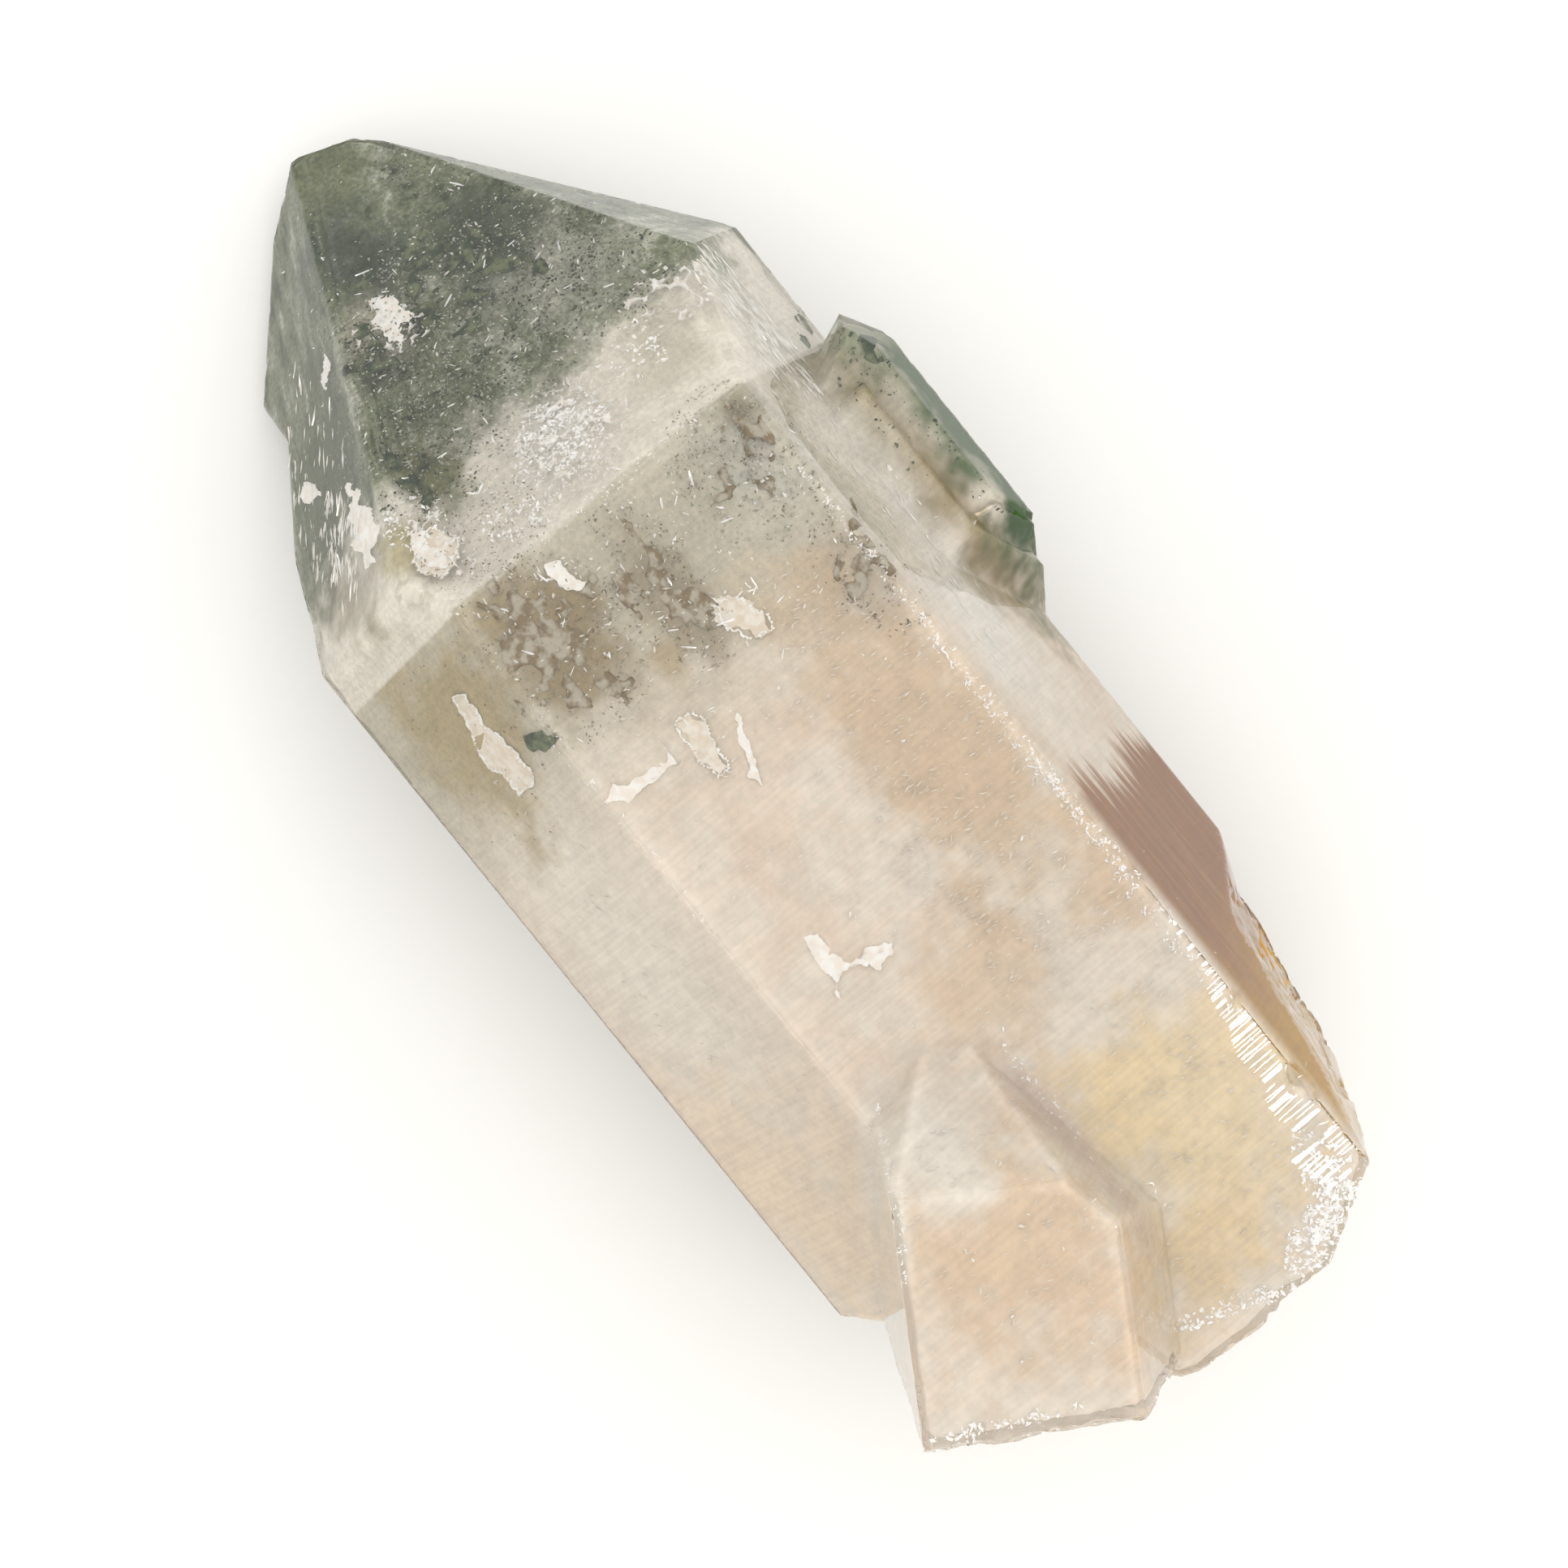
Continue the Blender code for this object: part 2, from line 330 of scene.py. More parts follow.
@dataclass(frozen=True)
class ClearQuartz:
    """Finish of the outer faces: clear, glossy, faintly warm, with striae that deepen by one edge."""

    ior: float = 1.544
    roughness: float = 0.015
    tint: Colour = rgb(238, 226, 206)
    density_per_m: float = 12.0
    stria_size: Size = (0.42, 9.0, 9.0)
    stria_height: float = 0.004
    faint: float = 0.7
    deepened: float = 7.0
    edge_across: Plan = (-3.0, -8.0)
    edge_along: Plan = (-16.0, -28.0)

    def material(self) -> bpy.types.Material:
        """Make the material.

        Returns:
            A see-through material with a plain absorbing volume.
        """
        graph = ShaderGraph("clear_quartz")
        striae = graph.noise(self.stria_size, detail=0.0)
        near_edge = graph.times(graph.along("Y", self.edge_across), graph.along("X", self.edge_along))
        lines = graph.times(striae, graph.plus(graph.times(near_edge, self.deepened), self.faint))
        graph.principled(Base_Color=(1, 1, 1, 1), Roughness=self.roughness, IOR=self.ior,
                         Transmission_Weight=1.0, Normal=graph.bump(lines, self.stria_height))
        inside = graph.add("ShaderNodeVolumeAbsorption")
        inside.inputs["Color"].default_value = self.tint
        inside.inputs["Density"].default_value = self.density_per_m
        graph.feed(graph.output.inputs["Volume"], inside.outputs["Volume"])
        return graph.material


@dataclass(frozen=True)
class Zone:
    """A soft patch inside the crystal that is seen in another colour."""

    centre: Size
    reach: Size
    seen: tuple[int, int, int]
    strength: float = 1.0
    turn_deg: float = 0.0


@dataclass(frozen=True)
class MilkyInside:
    """Finish of the milky body: cream and pink, greyer at its upper end and green in the tip."""

    cream: Colour = under_skin(242, 224, 202)
    pink: Colour = under_skin(236, 207, 183)
    grey: Colour = under_skin(190, 181, 160)
    tip_cream: Colour = under_skin(245, 234, 213)
    green: Colour = under_skin(114, 119, 100)
    deep_green: Colour = under_skin(76, 81, 66)
    pale_green: Colour = under_skin(190, 191, 174)
    # brown, pale_brown and low_brown are the colours of the painted brown shade.
    brown: Colour = under_skin(138, 96, 50)
    pale_brown: Colour = under_skin(180, 142, 98)
    low_brown: Colour = under_skin(178, 132, 66)
    shoulder: Plan = (14.85, 15.15)
    grey_span: Plan = (-3.0, 9.0)
    green_span: Plan = (20.0, 24.0)
    grainy_span: Plan = (-4.0, 10.0)
    wander: float = 2.5
    lump_size: float = 5.0
    mottle_size: float = 1.3
    grain_size: float = 0.32
    stria_size: Size = (0.22, 4.0, 4.0)
    mottle_swing: float = 0.05
    grain_swing: float = 0.5
    stria_swing: float = 0.03
    grain_body: Plan = (0.05, 0.16)
    grain_tip: float = 0.45
    zone_edge: Plan = (1.25, 0.3)
    zone_ragged: float = 0.45
    strip_turn_deg: float = -24.0
    strip_slope: float = 0.4
    strip_edge: Plan = (16.6, 17.4)
    cloud_size: float = 1.6
    streak_size: Size = (7.0, 0.6, 4.0)
    cloud_share: float = 0.55
    cloud_dark: Plan = (0.36, 0.5)
    cloud_pale: Plan = (0.5, 0.66)
    # Painted shade: the brown patch in the right side face, painted where a dark internal reflection shows.
    shade_top: Plan = (-14.3, -16.9)
    shade_side: Plan = (-9.4, -10.4)
    shade_foot: Plan = (7.0, 13.0)
    shade_low: Plan = (-24.0, -35.0)
    shade_jag: float = 1.0
    shade_tooth: Size = (9.0, 0.45, 0.45)
    shade_wave: Size = (9.0, 2.4, 2.4)
    shade_streak: float = 0.3
    shade_streak_edge: Plan = (0.45, 0.75)
    pink_edge: Plan = (0.35, 0.65)
    tip_zones: tuple[Zone, ...] = (
        Zone((32.5, -5.5, 14.0), (6.0, 4.0, 9.0), (74, 79, 66), 0.85),
        Zone((37.0, 1.5, 10.0), (5.0, 3.5, 8.0), (70, 76, 60), 0.8),
        Zone((30.0, 8.5, 15.0), (7.0, 2.2, 8.0), (78, 83, 66), 0.7, -24.0),
        Zone((43.5, -1.0, 6.0), (3.0, 3.4, 8.0), (102, 107, 86), 0.8),
        Zone((27.0, -7.5, 17.0), (4.0, 4.5, 7.0), (168, 168, 153), 0.8),
        Zone((31.5, 3.2, 14.0), (3.0, 2.0, 6.0), (176, 168, 148), 0.6),
        Zone((22.5, 7.0, 21.0), (3.0, 2.4, 6.0), (106, 108, 84), 0.9),
        Zone((19.6, 10.5, 23.0), (2.6, 2.2, 6.0), (168, 156, 114), 0.8),
        # Painted highlight: this near white patch stands for the light thrown back by the fracture of the
        # white burst.
        Zone((19.3, 0.0, 25.0), (2.4, 3.0, 6.0), (255, 247, 232), 0.95),
        Zone((20.0, -8.0, 23.0), (3.2, 4.0, 6.0), (206, 197, 177), 0.9),
        Zone((20.0, 14.0, 17.0), (3.6, 3.0, 6.0), (146, 138, 116), 0.85),
        Zone((27.0, 12.0, 14.0), (8.5, 3.4, 9.0), (82, 88, 66), 0.85, -24.0),
    )
    body_zones: tuple[Zone, ...] = (
        Zone((10.0, 8.0, 28.0), (5.5, 4.5, 6.0), (140, 124, 98), 0.9),
        Zone((8.5, 1.2, 28.0), (5.0, 2.0, 6.0), (144, 132, 112), 0.8),
        Zone((11.0, -7.2, 28.0), (5.0, 3.6, 6.0), (196, 192, 174), 0.85),
        Zone((14.2, -8.6, 28.0), (1.4, 1.6, 5.0), (132, 126, 108), 0.8),
        Zone((2.5, -8.0, 28.0), (4.0, 2.4, 6.0), (164, 152, 134), 0.7),
        Zone((5.2, 3.4, 28.0), (1.9, 1.2, 3.0), (172, 150, 120), 0.7),
        Zone((-5.0, 14.5, 20.0), (17.0, 5.0, 12.0), (255, 240, 218), 0.9),
        Zone((-10.0, -5.5, 28.0), (15.0, 5.4, 9.0), (211, 177, 143), 0.7),
        Zone((-20.0, 0.5, 28.0), (5.5, 5.0, 9.0), (220, 186, 154), 0.7),
        Zone((-33.0, -3.0, 28.0), (9.0, 7.0, 14.0), (255, 216, 160), 0.85),
        Zone((-36.0, -5.0, 26.0), (7.0, 5.0, 10.0), (252, 222, 180), 0.6),
        Zone((-40.0, 0.0, 18.0), (4.5, 9.0, 20.0), (242, 206, 160), 0.8),
        Zone((10.0, 14.5, 22.0), (8.0, 5.0, 12.0), (168, 151, 118), 0.95),
        Zone((-27.0, 15.0, 16.0), (14.0, 7.0, 12.0), (255, 222, 188), 0.9),
        Zone((3.0, -13.0, 24.0), (18.0, 3.6, 9.0), (254, 242, 224), 1.0),
        Zone((3.5, -16.3, 19.0), (12.0, 2.2, 6.0), (144, 128, 100), 0.9),
        Zone((5.5, -19.8, 15.0), (14.0, 3.8, 14.0), (76, 92, 30), 1.0),
        Zone((13.4, -19.0, 17.0), (1.4, 3.2, 5.0), (126, 132, 110), 0.9),
        Zone((-31.0, 9.0, 34.0), (9.0, 7.0, 5.0), (234, 194, 158), 0.8),
        Zone((-24.6, 9.4, 32.0), (4.6, 3.4, 6.0), (255, 240, 220), 1.0),
        Zone((-29.5, 3.2, 31.0), (7.5, 1.5, 7.0), (214, 190, 178), 0.8),
        Zone((-25.3, 12.9, 30.0), (6.0, 0.9, 9.0), (255, 238, 216), 0.9, -35.0),
    )

    def zone_mix(self, graph: ShaderGraph, zone: Zone, border: Socket,
                 colour: Socket) -> Socket:
        """Colour a zone.

        Args:
            graph: The material's nodes.
            zone: The zone.
            border: Shift that makes its border ragged.
            colour: Colour without it.

        Returns:
            Colour with it.
        """
        length = graph.add("ShaderNodeVectorMath", operation="LENGTH")
        graph.feed(length.inputs[0], graph.scaled(zone.reach, zone.turn_deg, zone.centre))
        ragged = graph.plus(length.outputs["Value"], border)
        share = graph.ramp(ragged, *self.zone_edge, 0.0, zone.strength)
        return graph.mix(share, colour, under_skin(*zone.seen))

    def clouds(self, graph: ShaderGraph, lumps: Socket) -> Socket:
        """Give the chlorite clouds of the tip, from near black green to pale grey green.

        Args:
            graph: The material's nodes.
            lumps: The large lumps that the clouds follow.

        Returns:
            The colour.
        """
        middle = graph.noise(self.cloud_size, detail=3.0, roughness=0.75)
        streaks = graph.noise(self.streak_size, detail=2.0, roughness=0.6, turn_deg=self.strip_turn_deg)
        aside = graph.plus(graph.axis("Y"), graph.times(graph.axis("X"), self.strip_slope))
        strip = graph.ramp(aside, self.strip_edge[0] * MM, self.strip_edge[1] * MM)
        pattern = graph.add("ShaderNodeMix", data_type="FLOAT")
        for socket, source in zip((0, 2, 3), (strip, middle, streaks)):
            graph.feed(pattern.inputs[socket], source)
        share = graph.plus(graph.times(lumps, 1 - self.cloud_share),
                           graph.times(pattern.outputs[0], self.cloud_share))
        dark = graph.mix(graph.ramp(share, *self.cloud_dark), self.deep_green, self.green)
        return graph.mix(graph.ramp(share, *self.cloud_pale), dark, self.pale_green)

    def painted_brown_shade(self, graph: ShaderGraph, colour: Socket) -> Socket:
        """Add the painted brown shade inside the right side face, a dark internal reflection painted into
        the colour, with its streaky upper edge.

        Args:
            graph: The material's nodes.
            colour: Colour without it.

        Returns:
            Colour with it.
        """
        teeth = graph.noise(self.shade_tooth, detail=2.0, roughness=0.75)
        along = graph.axis("X")
        for ragged in (teeth, graph.noise(self.shade_wave, detail=1.0)):
            along = graph.plus(along, graph.swing(ragged, 0.2, self.shade_jag * MM))
        behind = graph.ramp(along, *(place * MM for place in self.shade_top))
        aside = graph.times(graph.along("Y", self.shade_side), graph.along("Z", self.shade_foot))
        lower = graph.ramp(along, *(place * MM for place in self.shade_low))
        tone = graph.mix(lower, self.brown, self.low_brown)
        streaks = graph.ramp(teeth, *self.shade_streak_edge, 0.0, self.shade_streak)
        tone = graph.mix(streaks, tone, self.pale_brown)
        return graph.mix(graph.times(behind, aside), colour, tone)

    def colour(self, graph: ShaderGraph) -> Socket:
        """Give the colour at each place.

        Args:
            graph: The material's nodes.

        Returns:
            The colour.
        """
        lumps = graph.noise(self.lump_size, detail=3.0, roughness=0.65)
        along = graph.plus(graph.axis("X"), graph.swing(lumps, 0.25, self.wander * MM))
        greyer = graph.ramp(along, *(place * MM for place in self.grey_span))
        body = graph.mix(graph.ramp(lumps, *self.pink_edge), self.cream, self.pink)
        body = graph.mix(greyer, body, self.grey)
        border = graph.swing(lumps, 0.25, -self.zone_ragged)
        for zone in self.body_zones:
            body = self.zone_mix(graph, zone, border, body)
        # Painted brown shade in the right side face.
        body = self.painted_brown_shade(graph, body)
        greener = graph.ramp(along, *(place * MM for place in self.green_span))
        tip = graph.mix(greener, self.tip_cream, self.clouds(graph, lumps))
        for zone in self.tip_zones:
            tip = self.zone_mix(graph, zone, border, tip)
        body = graph.mix(graph.along("X", self.shoulder), body, tip)
        grainy = graph.plus(graph.along("X", self.grainy_span, *self.grain_body),
                            graph.times(greener, self.grain_tip))
        grain = graph.noise(self.grain_size, detail=2.0, roughness=0.7)
        mottle = graph.noise(self.mottle_size, detail=2.0, roughness=0.7)
        striae = graph.noise(self.stria_size, detail=0.0)
        value = graph.plus(graph.times(graph.swing(grain, 0.18, self.grain_swing), grainy), 1.0)
        value = graph.plus(value, graph.swing(mottle, 0.18, self.mottle_swing))
        value = graph.plus(value, graph.swing(striae, 0.2, self.stria_swing))
        shade = graph.add("ShaderNodeHueSaturation")
        graph.feed(shade.inputs["Color"], body)
        graph.feed(shade.inputs["Value"], value)
        return shade.outputs["Color"]

    def material(self) -> bpy.types.Material:
        """Make the material.

        Returns:
            An opaque, rough material.
        """
        graph = ShaderGraph("milky_inside")
        graph.principled(Base_Color=self.colour(graph), Roughness=0.6, Specular_IOR_Level=0.1)
        return graph.material


@dataclass(frozen=True)
class Grain:
    """Finish of small opaque things in the quartz, mottled between two colours, some with a painted glow
    that makes them look lit.
    """

    name: str
    first: Colour
    second: Colour
    size: float = 0.8
    roughness: float = 0.5
    # Painted light: an emission that makes the piece glow and look lit, though it is no lamp.
    painted_glow: float = 0.0
    patch_edge: Plan = (0.38, 0.62)
    grit_share: float = 3.0
    grit_height: float = 0.03

    def material(self) -> bpy.types.Material:
        """Make the material.

        Returns:
            An opaque mottled material that glows where a painted glow is set.
        """
        graph = ShaderGraph(self.name)
        share = graph.ramp(graph.noise(self.size, detail=2.0), *self.patch_edge)
        grit = graph.bump(graph.noise(self.size / self.grit_share, detail=0.0), self.grit_height)
        # The emission is painted light that brightens the piece as if it caught the light.
        graph.principled(Base_Color=graph.mix(share, self.first, self.second), Roughness=self.roughness,
                         Specular_IOR_Level=0.2, Emission_Color=self.first, Emission_Strength=self.painted_glow,
                         Normal=grit)
        graph.material.cycles.emission_sampling = "NONE"
        return graph.material


DARK_CHLORITE = Grain("dark_chlorite", under_skin(72, 79, 62), under_skin(108, 114, 92), 0.9)
PALE_CHLORITE = Grain("pale_chlorite", under_skin(144, 148, 130), under_skin(192, 193, 177), 0.9)
BROWN_GRAIN = Grain("brown_grain", under_skin(124, 110, 90), under_skin(176, 166, 148), 0.7)
# White cracks, partly painted glints: their painted glow stands in for the light that the cracks catch.
WHITE_CRACK_AND_GLINT = Grain("white_crack_and_glint", under_skin(255, 252, 244), under_skin(236, 220, 202), 0.6, painted_glow=0.16)
# Peach cracks with a faint painted glow.
PEACH_CRACK = Grain("peach_crack", under_skin(250, 236, 216), under_skin(228, 206, 180), 0.7, painted_glow=0.06)
# White chips and crumbs, partly painted glints: their painted glow stands in for the sparkle of worn edges,
# the broken base and the white burst.
CHIP_AND_GLINT = Grain("chip_and_glint", under_skin(255, 255, 255), under_skin(248, 238, 226), 0.4, painted_glow=0.3)
# Pale striae with a faint painted glow.
PALE_STRIA = Grain("pale_stria", under_skin(252, 238, 220), under_skin(238, 218, 196), 0.5, painted_glow=0.03)


def new_piece(name: str, mesh: bpy.types.Mesh, material: bpy.types.Material) -> bpy.types.Object:
    """Add a piece that moves with the crystal.

    Args:
        name: Name of the piece.
        mesh: Its mesh, in metres.
        material: Its finish.

    Returns:
        The new object.
    """
    piece = add_object(name, mesh)
    mesh.materials.clear()
    mesh.materials.append(material)
    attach(piece, BODY)
    LOG.info("%s: %d faces", name, len(mesh.polygons))
    return piece


class Outside:
    """The crystal's outer form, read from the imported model."""

    above = 60.0
    steepest = 0.15
    margin = 0.12
    weld_m = 1e-6

    def __init__(self) -> None:
        """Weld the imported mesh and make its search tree."""
        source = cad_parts[CAD_NODE].data
        self.form = bmesh.new()
        self.form.from_mesh(source)
        bmesh.ops.remove_doubles(self.form, verts=self.form.verts, dist=self.weld_m)
        bmesh.ops.triangulate(self.form, faces=self.form.faces)
        self.tree = BVHTree.FromBMesh(self.form)

    def triangles(self) -> tuple[np.ndarray, np.ndarray]:
        """Give the welded form as arrays.

        Returns:
            Points in millimetres and the corner numbers of the triangles.
        """
        self.form.verts.ensure_lookup_table()
        points = np.array([vert.co[:] for vert in self.form.verts], np.float32) / MM
        corners = np.array([[vert.index for vert in face.verts] for face in self.form.faces], np.uint32)
        return points, corners

    def beneath(self, x: float, y: float, depth: float) -> tuple[Vector, Vector] | None:
        """Find the place at a depth under the face that is seen from above.

        Args:
            x: Place along the crystal.
            y: Place across the crystal.
            depth: Depth under the face.

        Returns:
            The place and the face's normal, or None where there is no such place inside.
        """
        hit, normal, _, _ = self.tree.ray_cast(Vector((x, y, self.above)) * MM, DOWN)
        if hit is None or normal.z < self.steepest:
            return None
        place = hit + DOWN * (depth * MM / normal.z)
        nearest, facing, _, distance = self.tree.find_nearest(place)
        if distance < self.margin * MM or (place - nearest).dot(facing) > 0:
            return None
        return place / MM, normal


def eased(share: np.ndarray) -> np.ndarray:
    """Give a share from 0 to 1 soft ends."""
    return share * share * (3 - 2 * share)


def soft_step(values: np.ndarray, low: float, high: float) -> np.ndarray:
    """Rise smoothly from 0 at low to 1 at high."""
    return eased(np.clip((values - low) / (high - low), 0, 1))


class SolidField:
    """Distance to the crystal's surface on a grid, from which inner forms are cut."""

    def __init__(self, outside: Outside, step: float, reach: float) -> None:
        """Measure the distances.

        Args:
            outside: The outer form.
            step: Grid step in millimetres.
            reach: Greatest distance measured, in millimetres.
        """
        points, corners = outside.triangles()
        self.step = step
        self.frame = openvdb.createLinearTransform(voxelSize=step)
        self.grid = openvdb.FloatGrid.createLevelSetFromPolygons(
            points, triangles=corners, transform=self.frame, halfWidth=reach / step)
        self.box = (points.min(0) - 2 * step, points.max(0) + 2 * step)


class Region:
    """A box of the grid, with the distances in it."""

    def __init__(self, solid: SolidField, low: np.ndarray | None = None,
                 high: np.ndarray | None = None) -> None:
        """Copy the distances.

        Args:
            solid: The grid.
            low: Lowest corner, or None for the whole crystal's.
            high: Highest corner, or None for the whole crystal's.
        """
        low = solid.box[0] if low is None else np.maximum(low, solid.box[0])
        high = solid.box[1] if high is None else np.minimum(high, solid.box[1])
        first = np.floor(low / solid.step).astype(int)
        last = np.ceil(high / solid.step).astype(int) + 1
        self.solid = solid
        self.step = solid.step
        self.low = tuple(int(value) for value in first)
        self.distance = np.zeros(tuple(int(value) for value in last - first), np.float32)
        solid.grid.copyToArray(self.distance, ijk=self.low)

    def axes(self) -> tuple[np.ndarray, np.ndarray, np.ndarray]:
        """Give the grid's X, Y and Z places, shaped to combine with its values."""
        sides = [(low + np.arange(count)) * self.step for low, count in zip(self.low, self.distance.shape)]
        return sides[0][:, None, None], sides[1][None, :, None], sides[2][None, None, :]

    def cloud(self, layers: tuple[Plan, ...], seed: int, stretch: Size = (1.0, 1.0, 1.0)) -> np.ndarray:
        """Add up lumps of several sizes.

        Args:
            layers: Size and share of each layer.
            seed: Seed of the first layer. Each layer after it has the next one.
            stretch: Stretch of the lumps along each axis.

        Returns:
            The values on the grid.
        """
        return sum(share * self.lumps(size, seed + place, stretch)
                   for place, (size, share) in enumerate(layers))

    def lumps(self, size: float, seed: int, stretch: Size = (1.0, 1.0, 1.0)) -> np.ndarray:
        """Give smooth random lumps, from 0 to 1.

        Args:
            size: Size of a lump in millimetres.
            seed: Seed of the random values.
            stretch: Stretch of the lumps along each axis.

        Returns:
            The values on the grid.
        """
        random = np.random.default_rng(seed)
        shape = self.distance.shape
        coarse = [int(count * self.step / (size * share)) + 3 for count, share in zip(shape, stretch)]
        values = random.random(coarse).astype(np.float32)
        for axis, (count, cells, share) in enumerate(zip(shape, coarse, stretch)):
            matrix = self.weights(count, cells, self.step / (size * share))
            values = np.moveaxis(np.tensordot(matrix, values, axes=(1, axis)), 0, axis)
        return values

    @staticmethod
    def weights(count: int, cells: int, pace: float) -> np.ndarray:
        """Give smooth weights that spread a coarse row of values over a fine one.

        Args:
            count: Number of fine values.
            cells: Number of coarse values.
            pace: Coarse cells for each fine step.

        Returns:
            A matrix of count rows and cells columns.
        """
        last_place = cells - 1.001
        place = np.minimum(np.arange(count) * pace, last_place)
        low = place.astype(int)
        share = eased(place - low)
        matrix = np.zeros((count, cells), np.float32)
        rows = np.arange(count)
        matrix[rows, low] = 1 - share
        matrix[rows, low + 1] = share
        return matrix

    def surface(self, name: str, values: np.ndarray) -> bpy.types.Mesh:
        """Make the mesh where a field is zero.

        Args:
            name: Name of the mesh.
            values: Values on the grid, negative inside the wanted form.

        Returns:
            The mesh, in metres.
        """
        band = 3 * self.step
        for axis in range(3):
            edge = np.moveaxis(values, axis, 0)
            edge[0] = edge[-1] = band
        grid = openvdb.FloatGrid(float(band))
        grid.transform = self.solid.frame
        near = np.clip(values, -band, band)
        grid.copyFromArray(np.ascontiguousarray(near, np.float32), ijk=self.low)
        points, quads = grid.convertToQuads(isovalue=0.0)
        mesh = bpy.data.meshes.new(name)
        mesh.from_pydata((points * MM).tolist(), [], quads.tolist())
        mesh.update()
        mesh.shade_smooth()
        return mesh


@dataclass
class ClearSkin:
    """The clear outer quartz: flat faces with faint relief, worn edges and a rough broken base."""

    edge_limit: float = 0.85
    rounds: int = 9
    flat_limit_deg: float = 0.3
    rough_area: float = 2.5
    relief: float = 0.014
    relief_size: float = 5.0
    break_relief: float = 0.24
    break_size: float = 0.7
    wear: float = 0.03
    chip: float = 0.16
    chip_size: float = 0.9
    chip_from: float = 0.15
    edge_deg: float = 22.0
    sharp_deg: float = 30.0
    slope: float = 0.048
    slope_width: float = 4.0
    slope_edge: float = -9.7
    slope_from: float = -20.0
    slope_full: float = -38.0
    slope_start: float = 0.8
    slope_margin: float = 0.6
    slope_upward: float = 0.6
    wander: float = 1.2
    wander_size: float = 2.2
    broken_share: float = 0.5

    def build(self, outside: Outside) -> bpy.types.Object:
        """Build the skin in place of the plain solid.

        Args:
            outside: The outer form.

        Returns:
            The skin.
        """
        form = outside.form.copy()
        self.refine(form)
        self.shape(form)
        mesh = mesh_of(form, "clear_skin")
        mesh.shade_smooth()
        mesh.set_sharp_from_angle(angle=math.radians(self.sharp_deg))
        piece = new_piece("clear_skin", mesh, ClearQuartz().material())
        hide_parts(CAD_NODE)
        return piece

    def refine(self, form: bmesh.types.BMesh) -> None:
        """Cut the faces finely, and mark those that come from small broken ones.

        Args:
            form: The mesh to refine.
        """
        bmesh.ops.dissolve_limit(form, angle_limit=math.radians(self.flat_limit_deg),
                                 verts=form.verts, edges=form.edges)
        broken = form.faces.layers.int.new("broken")
        for face in form.faces:
            face[broken] = int(face.calc_area() < self.rough_area * MM * MM)
        bmesh.ops.triangulate(form, faces=form.faces)
        limit = self.edge_limit * MM
        for _ in range(self.rounds):
            long_edges = [edge for edge in form.edges if edge.calc_length() > limit]
            self.halve(form, long_edges)
        self.halve(form, list({edge for vert in self.corner_verts(form) for face in vert.link_faces
                               for edge in face.edges}))

    def halve(self, form: bmesh.types.BMesh, edges: list[bmesh.types.BMEdge]) -> None:
        """Cut edges in two and keep the mesh in triangles.

        Args:
            form: The mesh.
            edges: The edges to cut.
        """
        if edges:
            bmesh.ops.subdivide_edges(form, edges=edges, cuts=1)
            bmesh.ops.triangulate(form, faces=[face for face in form.faces if len(face.verts) > 3])

    def corner_verts(self, form: bmesh.types.BMesh) -> set[bmesh.types.BMVert]:
        """Find the points on the crystal's edges.

        Args:
            form: The mesh.

        Returns:
            The points.
        """
        limit = math.radians(self.edge_deg)
        edges = [edge for edge in form.edges if edge.is_manifold and edge.calc_face_angle_signed() > limit]
        return {vert for edge in edges for vert in edge.verts}

    def edge_slope(self, place: Vector, facing: Vector) -> float:
        """Give the depth of the gentle slope from the upper face to its lower right edge.

        Args:
            place: Place on the surface.
            facing: Its normal.

        Returns:
            The depth.
        """
        share = min(1.0, max(0.0, (self.slope_from - place.x) / (self.slope_from - self.slope_full)))
        uneven = self.wander * share * noise.noise(place / self.wander_size)
        inside = max(0.0, self.slope_edge + self.slope_width * share + uneven - place.y)
        if facing.z <= self.slope_upward or place.y <= self.slope_edge - self.slope_margin:
            return 0.0
        return self.slope * inside * inside / (inside + self.slope_start)

    def shape(self, form: bmesh.types.BMesh) -> None:
        """Move the points inwards by the relief of the faces, the wear of the edges and the break.

        Args:
            form: The refined mesh.
        """
        form.normal_update()
        broken = form.faces.layers.int["broken"]
        corners = self.corner_verts(form)
        moves = {}
        for vert in form.verts:
            place = vert.co / MM
            rough = sum(face[broken] for face in vert.link_faces) / max(1, len(vert.link_faces))
            depth = self.relief * (0.5 + 0.5 * hills(place / self.relief_size))
            depth += self.edge_slope(place, vert.normal)
            if rough > self.broken_share:
                depth += self.break_relief * (0.5 + 0.5 * hills(place / self.break_size, 0.8))
            if vert in corners:
                bite = max(0.0, hills(place / self.chip_size, 0.7) - self.chip_from)
                depth += self.wear + self.chip * bite
            moves[vert] = vert.normal * max(0.0, depth) * MM
        for vert, move in moves.items():
            vert.co -= move


